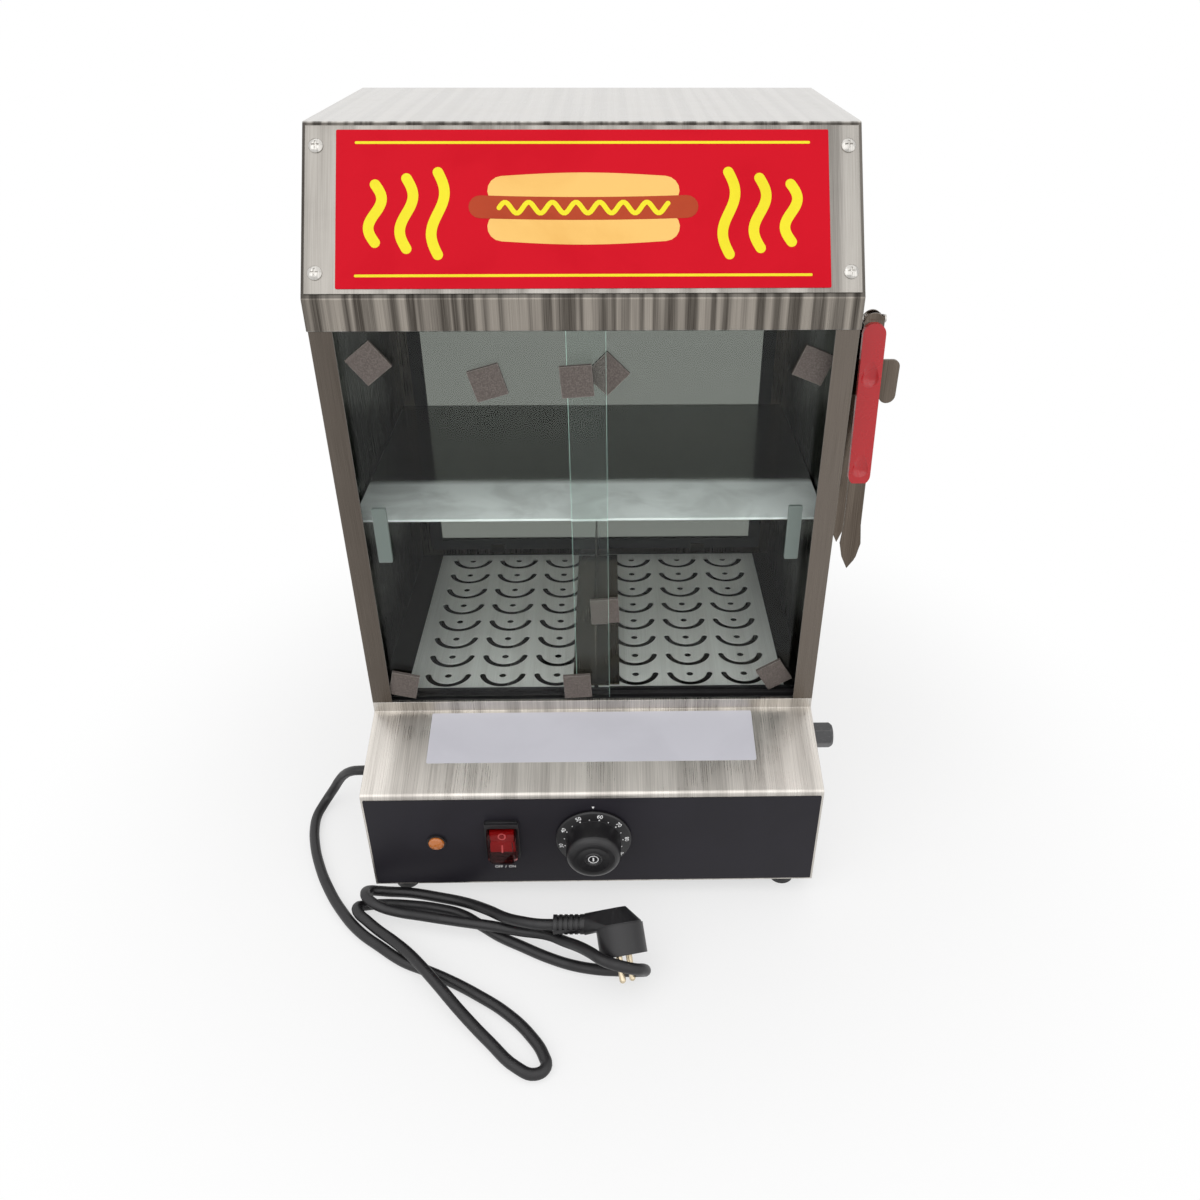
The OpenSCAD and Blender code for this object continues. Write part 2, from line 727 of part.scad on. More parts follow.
module tray(mid) {
    difference() {
        box(mid - tray_w / 2, mid + tray_w / 2, tray_y, tray_y + tray_d, tray_z, tray_top);
        box(mid - tray_w / 2 + tray_t, mid + tray_w / 2 - tray_t, tray_y + tray_t, tray_y + tray_d - tray_t,
            tray_z - 1, tray_top - tray_t);
        translate([mid, first_slot_y + slot_back, tray_z]) linear_extrude(tray_h + 1)
            for (i = [0 : slot_cols - 1], j = [0 : slot_rows - 1])
                translate([(i - (slot_cols - 1) / 2) * slot_pitch_x, j * slot_pitch_y]) smile_slot();
    }
}

module left_tray() {
    color("lightgray") in_frame() tray(tray_shift - tray_mid);
}

module right_tray() {
    color("lightgray") in_frame() tray(tray_shift + tray_mid);
}

// The bun divider: a foot that lies over both trays and an upright web
module divider() {
    z = tray_top + gap;
    color("silver") in_frame() translate([tray_shift, divider_y, z]) {
        box(-divider_foot_w / 2, divider_foot_w / 2, 0, divider_l, 0, divider_t);
        box(-divider_t / 2, divider_t / 2, 0, divider_l, 0, divider_h);
    }
}

// ---- heating and water ----

module half_turn(x, y, front) {
    translate([x, y, element_z]) rotate(front ? 180 : 0)
        rotate_extrude(angle = 180) translate([element_bend, 0]) circle(d = element_d);
}

// A W-shaped tube: both ends pass through the tank's front wall
module heating_element() {
    stud = 10;
    start = tank_front - 22;
    color("dimgray") in_frame() {
        for (s = [-1, 1]) {
            rod_y(s * 3 * element_bend, start, element_back, element_z, element_d);
            rod_y(s * 3 * element_bend, start - stud, start, element_z, 4);
            rod_y(s * element_bend, element_front, element_back, element_z, element_d);
            half_turn(s * 2 * element_bend, element_back, false);
        }
        half_turn(0, element_front, true);
    }
}

// Hexagonal bushings that clamp the tube to the tank's front wall
module element_bushings() {
    color("goldenrod") in_frame() for (s = [-1, 1]) difference() {
        union() {
            translate([s * 3 * element_bend, tank_front - 8, element_z]) rotate([-90, 0, 0])
                cylinder(h = 8, d = bushing_flats / cos(30), $fn = 6);
            translate([s * 3 * element_bend, tank_front + tank_t, element_z]) rotate([-90, 0, 0])
                cylinder(h = 4, d = bushing_flats / cos(30), $fn = 6);
        }
        rod_y(s * 3 * element_bend, tank_front - 10, tank_front + 10, element_z, element_d);
    }
}

capillary_x = 24;
capillary_z = tank_floor + 18;
bulb_y = tank_front + 8;

module thermostat() {
    depth = 34;
    color("dimgray") in_frame() difference() {
        union() {
            box(-22, 22, sheet, sheet + 1.5, control_z - 20, control_z + 20);
            box(-18, 18, sheet, sheet + depth, control_z - 16, control_z + 16);
            for (s = [-1, 1]) box(s * 10 - 3, s * 10 + 3, sheet + depth, sheet + depth + 8,
                                  control_z - 14, control_z - 13.2);
        }
        rod_y(0, 0, sheet + 14, control_z, shaft_d + 2 * gap);
    }
}

// A fluid tube through straight runs with a ball at each turn
module fine_tube(points, d) {
    for (i = [0 : len(points) - 2]) {
        run = points[i + 1] - points[i];
        translate(points[i]) rotate([0, acos(run.z / norm(run)), atan2(run.y, run.x)])
            cylinder(h = norm(run), d = d);
    }
    for (i = [1 : len(points) - 2]) translate(points[i]) sphere(d = d + 0.4);
}

// The sensing bulb in the water and its fine tube from the thermostat
module thermostat_bulb() {
    color("peru") in_frame() {
        rod_x(capillary_x, capillary_x + bulb_l, bulb_y, capillary_z, bulb_d);
        fine_tube([[12, sheet + 34, control_z], [12, sheet + 46, control_z], [capillary_x, tank_front - 20, capillary_z],
                   [capillary_x, bulb_y, capillary_z]], 2);
        rod_y(capillary_x, tank_front - 3, tank_front, capillary_z, 8);
    }
}

module thermostat_shaft() {
    color("lightgray") in_frame() rod_y(0, knob_y + 6, sheet + 13, control_z, shaft_d);
}

// A numbered skirt and a round knob with a shallow dish in its front
module temperature_dial() {
    back = -skirt_y;
    front = -knob_y;
    skirt_t = 2.6;
    edge = 6;
    knob_r = knob_d / 2;
    color("#26262a") in_frame() difference() {
        translate([0, 0, control_z]) rotate([90, 0, 0]) rotate_extrude($fn = 96) polygon(concat(
            [[0, back], [dial_d / 2, back], [dial_d / 2, back + 1.4], [dial_d / 2 - 1, back + skirt_t - 0.4],
             [knob_r, back + skirt_t + 0.8]],
            [for (k = [0 : 6]) [knob_r - edge + edge * cos(15 * k) - 0.6, front - edge + edge * sin(15 * k)]],
            [[knob_r * 0.6, front], [knob_r * 0.45, front - 0.6], [7, front - 1], [6, front - 0.2],
             [5.2, front - 0.2], [4.6, front - 1], [0, front - 1]]));
        rod_y(0, knob_y + 5.9, skirt_y + 1, control_z, shaft_d + 0.02);
    }
}

// ---- switch and lamp ----

module switch_body() {
    color("#18181a") in_frame() difference() {
        union() {
            translate([-switch_x, overlay_y, control_z]) rotate([90, 0, 0])
                linear_extrude(bezel_t) rounded_rect(switch_w, switch_h, 2.5);
            // the bar that the cover hinges and clips on
            box(-switch_x - switch_w / 2 + 0.5, -switch_x + switch_w / 2 - 0.5, overlay_y - bezel_t - 2.5,
                overlay_y - bezel_t, control_z + switch_h / 2 - 4.5, control_z + switch_h / 2 - 0.5);
            box(-switch_x - switch_w / 2 + 2.3, -switch_x + switch_w / 2 - 2.3, overlay_y, sheet + 26,
                control_z - switch_h / 2 + 4.3, control_z + switch_h / 2 - 4.3);
            for (z = [-8, 0, 8]) box(-switch_x - 3.2, -switch_x + 3.2, sheet + 26, sheet + 35,
                                     control_z + z - 0.4, control_z + z + 0.4);
        }
        rod_x(-switch_x - rocker_w / 2 - 0.5, -switch_x + rocker_w / 2 + 0.5, rocker_y, control_z,
              2 * rocker_r + 1.2);
    }
}

// The rocker turns about its pivot inside a round chamber; its face is two flats that meet at a dip
module switch_rocker() {
    tilt = -10;
    color("red") in_frame() translate([-switch_x, rocker_y, control_z]) rotate([tilt, 0, 0])
        along_x(-rocker_w / 2, rocker_w / 2) intersection() {
            circle(rocker_r, $fn = 72);
            polygon([[rocker_r, -rocker_r], [rocker_r, rocker_r], [-rocker_r * 0.8, rocker_r],
                     [-rocker_r * 0.58, 0], [-rocker_r * 0.8, -rocker_r]]);
        }
}

// A clear soft cover over the rocker, rounded at its front
module cover_block(grow, depth) {
    w = rocker_w + 4 + 2 * grow;
    h = 2 * rocker_r + 5 + 2 * grow;
    hull() {
        linear_extrude(0.01) rounded_rect(w, h, 3 + grow, $fn = 32);
        translate([0, 0, depth - 4]) linear_extrude(0.01) rounded_rect(w - 1, h - 1, 3 + grow, $fn = 32);
        translate([0, 0, depth - 0.01]) linear_extrude(0.01) rounded_rect(w - 6, h - 6, 3, $fn = 32);
    }
}

module switch_cover() {
    color("mistyrose", 0.5) in_frame()
        translate([-switch_x, overlay_y - bezel_t, control_z - 2.4]) rotate([90, 0, 0]) difference() {
            cover_block(1, cover_out);
            translate([0, 0, -0.01]) cover_block(0, cover_out - 1);
        }
}

module pilot_lamp() {
    color("#202024") in_frame() difference() {
        union() {
            rod_y(-lamp_x, overlay_y - 2, overlay_y, lamp_z, lamp_d);
            rod_y(-lamp_x, overlay_y - 0.5, sheet + 24, lamp_z, lamp_d - 3);
            for (s = [-1, 1]) box(-lamp_x + s * 3 - 0.4, -lamp_x + s * 3 + 0.4, sheet + 24, sheet + 31,
                                  lamp_z - 2.4, lamp_z + 2.4);
        }
        rod_y(-lamp_x, overlay_y - 3, overlay_y - 1, lamp_z, lamp_d - 2.4);
    }
}

module pilot_lens() {
    r = lamp_d / 2 - 1.2;
    color("orange") in_frame() translate([-lamp_x, overlay_y - 1, lamp_z]) rotate([90, 0, 0])
        rotate_extrude() polygon(concat([[0, 0], [r, 0]],
            [for (a = [0 : 15 : 90]) [r * cos(a), 1.4 + 3 * sin(a)]]));
}

// The mains terminals on the base pan beside the gland
module terminal_block() {
    z = foot_h + sheet;
    color("ivory") in_frame() translate([-wall_x + 20, gland_y - 17, z]) difference() {
        union() {
            cube([18, 34, 6]);
            for (k = [0 : 2]) translate([1, 1.5 + 11 * k, 0]) cube([16, 9, 15]);
        }
        for (k = [0 : 2]) {
            translate([4.5, 6 + 11 * k, 8]) cylinder(h = 10, d = 4);
            translate([13.5, 6 + 11 * k, 8]) cylinder(h = 10, d = 4);
        }
    }
}

// ---- drain ----

module drain_pipe() {
    color("silver") in_frame() difference() {
        rod_x(tank_x - tank_t, side_x + drain_out, drain_y, drain_z, drain_d);
        rod_x(tank_x - tank_t - 1, side_x + drain_out + 1, drain_y, drain_z, drain_bore);
    }
}

// A rubber washer and a locknut that clamp the pipe to the side wall
module drain_locknut() {
    color("#1e1e20") in_frame() difference() {
        union() {
            rod_x(side_x, side_x + gasket_t, drain_y, drain_z, drain_d + 19);
            translate([side_x + gasket_t, drain_y, drain_z]) rotate([0, 90, 0])
                cylinder(h = locknut_t, d = (drain_d + 7) / cos(30), $fn = 6);
        }
        rod_x(side_x - 1, cap_x + 1, drain_y, drain_z, drain_d);
    }
}

// A hexagonal cap with a turned edge, closed at its outer end
module drain_cap() {
    wide = cap_flats / cos(30);
    color("silver") in_frame() difference() {
        intersection() {
            translate([cap_x, drain_y, drain_z]) rotate([0, 90, 0]) rotate(30) cylinder(h = cap_l, d = wide, $fn = 6);
            translate([cap_x, drain_y, drain_z]) rotate([0, 90, 0]) union() {
                cylinder(h = cap_l - 3, d = wide + 1);
                translate([0, 0, cap_l - 3]) cylinder(h = 3, d1 = wide + 1, d2 = cap_flats - 1);
            }
        }
        rod_x(cap_x - 1, side_x + drain_out + 0.6, drain_y, drain_z, drain_d + 2 * gap);
    }
}

// ---- feet ----

function foot_places() = [for (sx = [-1, 1], y = [foot_inset, body_d - foot_inset])
    [sx * (side_x - foot_inset - 4), y]];

module each_foot() {
    for (p = foot_places()) translate(p) children();
}

// A rubber foot with its screw, whose head lies in the foot's recess and whose nut is on the pan
module foot(p) {
    translate(p) rotate_extrude() difference() {
        polygon([[0, 0], [foot_d / 2 - 1, 0], [foot_d / 2, 1], [foot_d / 2 + 1, foot_h], [0, foot_h]]);
        translate([-1, -1]) square([5.5, 1 + foot_h / 2 - 3]);
    }
    translate(p) translate([0, 0, foot_h]) cylinder(h = sheet + 5, d = 4.2);
    translate(p) translate([0, 0, foot_h + sheet]) cylinder(h = 3.2, d = 8, $fn = 6);
}

module front_left_foot() {
    color("#1a1a1a") in_frame() foot(foot_places()[0]);
}

module back_left_foot() {
    color("#1a1a1a") in_frame() foot(foot_places()[1]);
}

module front_right_foot() {
    color("#1a1a1a") in_frame() foot(foot_places()[2]);
}

module back_right_foot() {
    color("#1a1a1a") in_frame() foot(foot_places()[3]);
}

// ---- tongs and their holder ----

flange_w = 20;

function rivet_places() = [for (z = [holder_low + 12, holder_high - 8]) [hinge_y + flange_w / 2 + 1, z]];

// An angle riveted to the side: its plate stands between the arms, its tongue carries the hinge pin
module tongs_holder() {
    front = hinge_y - holder_t / 2;
    tongue_w = grip_w - 2 * (3.8 + gap);       // clear of the back arm's ears
    tongue_top = hinge_z - hinge_d / 2 - gap;
    nose = 6;
    color("gray") in_frame() difference() {
        union() {
            along_y(front, front + holder_t) polygon(concat(
                [[side_x, holder_low + nose]],
                [for (a = [180 : 15 : 360]) [holder_end - nose, holder_low + nose] + nose * [cos(a), sin(a)]],
                [for (a = [0 : 15 : 90]) [holder_end - 5, holder_high - 5] + 5 * [cos(a), sin(a)]],
                [[tongs_x + tongue_w / 2, holder_high], [tongs_x + tongue_w / 2, tongue_top],
                 [tongs_x - tongue_w / 2, tongue_top], [tongs_x - tongue_w / 2, holder_high],
                 [side_x, holder_high]]));
            box(side_x, side_x + holder_t, front, front + flange_w, holder_low + nose, holder_high);
        }
        for (p = rivet_places()) rod_x(side_x - 1, side_x + holder_t + 1, p.x, p.y, 4);
    }
}

module holder_rivets() {
    head = side_x + holder_t - wall_x;
    color("lightgray") in_frame() for (p = rivet_places())
        translate([wall_x, p.x, p.y]) rotate([0, 90, 0]) rotate_extrude() polygon(concat(
            [[0, -1.5], [3, -1.5], [3, 0], [2, 0], [2, head], [3.5, head]],
            [for (a = [15 : 15 : 90]) [3.5 * cos(a), head + 1.6 * sin(a)]]));
}

ear_r = hinge_d / 2 + 1.4;                  // the ears that hold the pin
arm_y = ear_r + gap + arm_t;                // outer face of an arm's top, from the pin

// Side view of an arm's outer face, from above the pin to the tip, away from the hinge in Y
arm_path = [[arm_y, 5], [arm_y, 0], [17.2, 2 - grip_l], [21, -0.83 * tongs_l], [22.6, 8 - tongs_l], [20.6, -tongs_l]];
grip_path = [arm_path[1], arm_path[2]];

// Front view of an arm: round at the hinge, slim below the grip, a pointed scoop at the tip
module arm_outline() {
    w = grip_w - 2;
    translate([0, 5 - w / 2]) circle(d = w);
    polygon([[w / 2, 5 - w / 2], [-w / 2, 5 - w / 2], [0.5 - w / 2, -0.62 * tongs_l],
             [0.5 - w / 2, -0.82 * tongs_l], [w / 2 - 0.5, -0.82 * tongs_l], [w / 2 - 0.5, -0.62 * tongs_l]]);
    polygon([[-w / 2 + 0.5, -0.8 * tongs_l], [w / 2 - 0.5, -0.8 * tongs_l], [w / 2 + 1, -0.88 * tongs_l],
             [w / 2 - 1.5, -0.94 * tongs_l], [0, -tongs_l], [-w / 2 + 1.5, -0.94 * tongs_l],
             [-w / 2 - 1, -0.88 * tongs_l]]);
}

// An arm about the hinge pin, on the back of it. The ears that hold the pin stand ear_x from the middle
module arm(ear_x) {
    difference() {
        union() {
            intersection() {
                along_x(-grip_w, grip_w) polygon(concat(arm_path, reversed(beside(arm_path, -arm_t))));
                along_y(-40, 40) arm_outline();
            }
            for (s = [-1, 1]) translate([s * ear_x, 0, 0]) {
                rod_x(-0.6, 0.6, 0, 0, 2 * ear_r);
                box(-0.6, 0.6, 0, arm_y - arm_t / 2, -ear_r, ear_r);
            }
        }
        rod_x(-grip_w, grip_w, 0, 0, hinge_d + 0.1);
    }
}

// A plastic grip moulded on the arm's outer face, with two finger hollows
module grip() {
    outer = beside(grip_path, grip_t);
    dents = [[0.28, 6], [0.86, 5]];
    lean = atan2(outer[1].x - outer[0].x, outer[0].y - outer[1].y);
    difference() {
        intersection() {
            along_x(-grip_w, grip_w) polygon(concat(grip_path, reversed(outer)));
            along_y(-60, 60) translate([0, -grip_l / 2]) rounded_rect(grip_w, grip_l - 2, grip_w / 2 - 0.5);
        }
        for (d = dents) {
            at = outer[0] + (outer[1] - outer[0]) * d[0];
            translate([0, at.x + 7.2, at.y]) rotate([-lean, 0, 0]) {
                translate([0, 0, -d[1]]) cylinder(h = 2 * d[1], r = 8.4);
                for (s = [-1, 1]) translate([0, 0, s * d[1]]) sphere(8.4);
            }
        }
    }
}

module at_hinge(back) {
    translate([tongs_x, hinge_y, hinge_z]) mirror([0, back ? 0 : 1, 0]) children();
}

module tongs_front_arm() {
    color("silver") in_frame() at_hinge(false) arm(grip_w / 2 - 1.6);
}

module tongs_front_grip() {
    color("crimson") in_frame() at_hinge(false) grip();
}

module tongs_back_arm() {
    color("silver") in_frame() at_hinge(true) arm(grip_w / 2 - 3.2);
}

module tongs_back_grip() {
    color("crimson") in_frame() at_hinge(true) grip();
}

module tongs_hinge_pin() {
    half = grip_w / 2;
    color("lightgray") in_frame() {
        rod_x(tongs_x - half, tongs_x + half, hinge_y, hinge_z, hinge_d);
        for (s = [-1, 1]) rod_x(tongs_x + s * half - 0.6, tongs_x + s * half + 0.6, hinge_y, hinge_z, hinge_d + 2.4);
    }
}

// ---- power cord ----

module cord_gland() {
    color("#1a1a1c") in_frame() difference() {
        union() {
            translate([-side_x - 5, gland_y, gland_z]) rotate([0, 90, 0])
                cylinder(h = 5, d = (cord_d + 10) / cos(30), $fn = 6);
            translate([-side_x - gland_l, gland_y, gland_z]) rotate([0, 90, 0])
                cylinder(h = gland_l - 5, d1 = cord_d + 4.5, d2 = cord_d + 8.5);
            rod_x(-side_x - 1, -wall_x + 5, gland_y, gland_z, cord_d + 5.2);
            translate([-wall_x, gland_y, gland_z]) rotate([0, 90, 0])
                cylinder(h = 4, d = (cord_d + 9) / cos(30), $fn = 6);
        }
        rod_x(-side_x - gland_l + 6, -wall_x + 6, gland_y, gland_z, cord_d);
    }
}

// A ring of points round point i of the route, square to the direction there
function cord_ring(points, i, r, sides) =
    let (a = heading(points, i - 1), b = heading(points, i), t = (a + b) / norm(a + b),
         u = cross(t, [0, 0, 1]) / norm(cross(t, [0, 0, 1])), v = cross(u, t))
    [for (k = [0 : sides - 1]) points[i] + r * (cos(360 * k / sides) * u + sin(360 * k / sides) * v)];

module swept_tube(points, r, sides) {
    n = len(points);
    polyhedron(
        [for (i = [0 : n - 1]) each cord_ring(points, i, r, sides)],
        concat(
            [[for (k = [0 : sides - 1]) k], [for (k = [sides - 1 : -1 : 0]) (n - 1) * sides + k]],
            [for (i = [0 : n - 2], k = [0 : sides - 1]) let (a = i * sides + k, b = i * sides + (k + 1) % sides)
                [a, a + sides, b]],
            [for (i = [0 : n - 2], k = [0 : sides - 1]) let (a = i * sides + k, b = i * sides + (k + 1) % sides)
                [b, a + sides, b + sides]]));
}

module power_cord() {
    color("#222224") in_frame() swept_tube(cord_points, cord_r, 10);
}

// Places work on the plug's face: Z points out along the pins
module on_plug() {
    translate(plug_at) rotate([90 + plug_tilt, 0, plug_turn]) rotate(plug_roll) children();
}

// An angled plug: a round face, a sloping housing and a ribbed sleeve round the cord
module plug_body() {
    skirt = 22;
    sleeve_d = cord_d + 6.5;
    neck = relief_end + [relief_l, 0, 0];
    color("#1e1e20") in_frame() difference() {
        union() {
            on_plug() translate([0, 0, -skirt]) cylinder(h = skirt, d = plug_d);
            hull() {
                on_plug() translate([0, 0, -skirt - 1]) cylinder(h = 2, d = plug_d - 2, $fn = 32);
                on_plug() translate([0, 0, -skirt - 13]) cylinder(h = 1, d = plug_d - 22, $fn = 32);
                translate(neck) rotate([0, 90, 0]) cylinder(h = 1, d = sleeve_d + 1, $fn = 32);
            }
            rod_x(relief_end.x, neck.x + 0.5, relief_end.y, relief_end.z, sleeve_d);
        }
        for (k = [1 : 5]) translate([relief_end.x + 4 * k - 1, relief_end.y, relief_end.z]) rotate([0, 90, 0])
            difference() {
                cylinder(h = 1.6, d = sleeve_d + 2);
                translate([0, 0, -1]) cylinder(h = 4, d = sleeve_d - 3);
                translate([-2, -sleeve_d, -1]) cube([4, 2 * sleeve_d, 4]);
            }
    }
}

module plug_pins() {
    r = pin_d / 2;
    color("gold") in_frame() on_plug() for (s = [-1, 1]) translate([0, s * pin_pitch / 2, 0])
        rotate_extrude() polygon(concat([[0, 0], [r, 0]],
            [for (a = [0 : 15 : 90]) [r * cos(a), pin_l - r + r * sin(a)]]));
}

// ---- the part ----

base_pan();
front_shell();
left_side_panel();
right_side_panel();
back_frame();
hood_shell();
sign_plate();
sign_print();
sign_screws();
control_overlay();
door_header();
upper_door_track();
lower_door_track();
left_door_glass();
left_door_pull();
left_door_pads();
right_door_glass();
right_door_pull();
right_door_pads();
back_window();
back_window_seal();
back_window_clips();
shelf();
left_shelf_ledge();
right_shelf_ledge();
water_tank();
tray_frame();
left_tray();
right_tray();
divider();
heating_element();
element_bushings();
thermostat();
thermostat_bulb();
thermostat_shaft();
temperature_dial();
switch_body();
switch_rocker();
switch_cover();
pilot_lamp();
pilot_lens();
terminal_block();
drain_pipe();
drain_locknut();
drain_cap();
front_left_foot();
front_right_foot();
back_left_foot();
back_right_foot();
tongs_holder();
holder_rivets();
tongs_front_arm();
tongs_front_grip();
tongs_back_arm();
tongs_back_grip();
tongs_hinge_pin();
cord_gland();
power_cord();
plug_body();
plug_pins();
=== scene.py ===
"""The looks of a counter-top hot dog steamer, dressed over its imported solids.

Places are written in metres on the drawing's axes: X to the right, Y back from the front face,
Z up from the counter. at() moves them to the part's own frame.
"""

import math

import bmesh
import bpy
from mathutils import Euler, Matrix, Vector


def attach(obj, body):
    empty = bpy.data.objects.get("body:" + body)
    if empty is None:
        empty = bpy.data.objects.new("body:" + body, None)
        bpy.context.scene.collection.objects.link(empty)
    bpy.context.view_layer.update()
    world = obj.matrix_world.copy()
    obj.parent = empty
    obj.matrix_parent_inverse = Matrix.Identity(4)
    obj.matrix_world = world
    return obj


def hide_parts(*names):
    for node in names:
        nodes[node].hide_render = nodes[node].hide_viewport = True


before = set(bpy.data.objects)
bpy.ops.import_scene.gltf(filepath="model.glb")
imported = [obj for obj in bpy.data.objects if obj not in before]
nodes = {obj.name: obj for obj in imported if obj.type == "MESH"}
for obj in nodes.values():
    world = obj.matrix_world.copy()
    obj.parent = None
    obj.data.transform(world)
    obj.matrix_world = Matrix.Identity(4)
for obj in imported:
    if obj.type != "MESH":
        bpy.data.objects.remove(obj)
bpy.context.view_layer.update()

# ---------------------------------------------------------------- places taken from the drawing
FRAME_ORIGIN = Vector((0.0195, 0.1525, 0.0))    # of the part's own frame
FACE_TOP = Vector((0.0, 0.0, 0.1143))        # front edge of the sloped deck
DECK_TILT = math.atan2(0.0224, 0.0756)       # its rise over its run
SIGN_FOOT = Vector((0.0, 0.0725, 0.4762))    # lower edge of the sloped sign face
SIGN_TILT = math.atan2(0.0938, 0.0685)       # its rise over its run
DIAL_MIDDLE = Vector((0.0, 0.0, 0.068))
ROCKER_PIVOT = Vector((-0.0725, 0.002, 0.068))
ROCKER_TILT = math.radians(-10)              # at rest


def at(x, y, z):
    """A place on the drawing's axes, in the part's frame."""
    return Vector((x, y, z)) - FRAME_ORIGIN


def tone(red, green, blue):
    """A screen colour, 0 to 255, as the linear colour that shows as it."""
    def linear(c):
        c /= 255
        return c / 12.92 if c <= 0.04045 else ((c + 0.055) / 1.055) ** 2.4
    return (linear(red), linear(green), linear(blue), 1.0)


# ---------------------------------------------------------------- camera
camera_data = bpy.data.cameras.new("camera")
camera_data.lens = 29.81
camera_data.sensor_width = 36
camera_data.shift_x = -0.0232
camera_data.shift_y = -0.0044
camera_data.clip_start = 0.05
camera_data.clip_end = 200
camera = bpy.data.objects.new("camera", camera_data)
camera.location = (-0.00347, -0.71473, 0.66151)
camera.rotation_euler = Euler([math.radians(a) for a in (57.111, -0.115, -1.0235)], "XYZ")
bpy.context.scene.collection.objects.link(camera)
bpy.context.scene.camera = camera

# ---------------------------------------------------------------- the power lead
CORD_RADIUS = 0.00425
LEAD_ROUTE = [
    (-.200, .096, .053), (-.207, .096, .053), (-.216, .099, .0495), (-.225, .104, .041),
    (-.233, .109, .029), (-.240, .111, .017), (-.246, .109, .0085), (-.250, .101, .005),
    (-.252, .090, .0045), (-.251, .076, .0045), (-.246, .056, .0045), (-.236, .031, .0045),
    (-.222, .005, .0045), (-.206, -.018, .0045),
    (-.188, -.038, .0045), (-.167, -.054, .0045), (-.148, -.067, .0045), (-.130, -.075, .0045),
    (-.111, -.084, .0045), (-.088, -.097, .0045), (-.063, -.114, .0045), (-.044, -.133, .0045),
    (-.035, -.147, .0045), (-.033, -.156, .0045), (-.040, -.161, .0045), (-.053, -.156, .0045),
    (-.074, -.137, .0055), (-.097, -.115, .0095), (-.119, -.092, .014), (-.131, -.079, .0145),
    (-.143, -.066, .013), (-.157, -.053, .011), (-.171, -.041, .0085), (-.183, -.031, .009),
    (-.1905, -.024, .0092), (-.193, -.017, .008), (-.188, -.013, .005), (-.177, -.0115, .0045),
    (-.151, -.013, .0045), (-.127, -.017, .0045), (-.108, -.023, .0045), (-.091, -.034, .0045),
    (-.075, -.045, .0045), (-.058, -.054, .0045), (-.034, -.066, .0045), (-.015, -.073, .0045),
    (.005, -.077, .0045), (.018, -.078, .0045), (.028, -.079, .0048), (.035, -.082, .009),
    (.0387, -.087, .016), (.0375, -.0925, .025), (.031, -.098, .033), (.021, -.0995, .0385),
    (.008, -.0955, .040), (-.002, -.086, .037), (-.011, -.076, .031), (-.022, -.065, .023),
    (-.036, -.054, .017), (-.059, -.047, .0136), (-.081, -.042, .0135), (-.115, -.036, .014),
    (-.140, -.031, .014), (-.157, -.0275, .014), (-.172, -.023, .015), (-.182, -.017, .0155),
    (-.1875, -.009, .014), (-.187, -.001, .009), (-.181, .002, .0052), (-.171, .0015, .0045),
    (-.153, 0.0, .0045), (-.129, -.005, .0045), (-.105, -.014, .008), (-.086, -.028, .016),
    (-.069, -.043, .0243), (-.055, -.052, .0305), (-.042, -.0565, .033), (-.031, -.057, .033)]

lead_curve = bpy.data.curves.new("power_lead", "CURVE")
lead_curve.dimensions = "3D"
lead_curve.bevel_depth = 1.0             # each knot's own radius gives the thickness
lead_curve.bevel_resolution = 5
lead_curve.resolution_u = 5
lead_curve.use_fill_caps = True
lead_line = lead_curve.splines.new("BEZIER")
lead_line.bezier_points.add(len(LEAD_ROUTE) - 1)
for knot, place in zip(lead_line.bezier_points, LEAD_ROUTE):
    knot.co = at(*place)
    knot.radius = CORD_RADIUS
    knot.handle_left_type = knot.handle_right_type = "AUTO"
power_lead = bpy.data.objects.new("power_lead", lead_curve)
bpy.context.scene.collection.objects.link(power_lead)
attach(power_lead, "cabinet")
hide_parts("power_cord")


# ---------------------------------------------------------------- effects that several finishes use
# How often a brushed sheet's fine lines and broad bands change, per metre along X, Y and Z
SHEET_LINES, SHEET_BANDS = (2600.0, 18.0, 18.0), (95.0, 2.0, 2.0)         # brushed from front to back
UPRIGHT_LINES, UPRIGHT_BANDS = (2600.0, 2600.0, 18.0), (9.0, 9.0, 0.4)    # brushed up and down


def effect(name, inputs, outputs):
    """An empty node group with named inputs and outputs."""
    group = bpy.data.node_groups.new(name, "ShaderNodeTree")
    for label, kind, value in inputs:
        socket = group.interface.new_socket(label, in_out="INPUT", socket_type=kind)
        socket.default_value = value
    for label, kind in outputs:
        group.interface.new_socket(label, in_out="OUTPUT", socket_type=kind)
    return group, group.nodes.new("NodeGroupInput"), group.nodes.new("NodeGroupOutput")


def maths(tree, action, first, second):
    """A Math node. Each side is a number or a socket."""
    node = tree.nodes.new("ShaderNodeMath")
    node.operation = action
    for slot, value in enumerate((first, second)):
        if isinstance(value, (int, float)):
            node.inputs[slot].default_value = value
        else:
            tree.links.new(value, node.inputs[slot])
    return node.outputs[0]


def spread(tree, value, low, high, to_low=0.0, to_high=1.0):
    """A Map Range node with smooth ends."""
    node = tree.nodes.new("ShaderNodeMapRange")
    node.interpolation_type = "SMOOTHSTEP"
    for label, number in (("From Min", low), ("From Max", high), ("To Min", to_low), ("To Max", to_high)):
        node.inputs[label].default_value = number
    tree.links.new(value, node.inputs["Value"])
    return node.outputs[0]


def object_place(tree):
    """The place on the object, in its own metres."""
    return tree.nodes.new("ShaderNodeTexCoord").outputs["Object"]


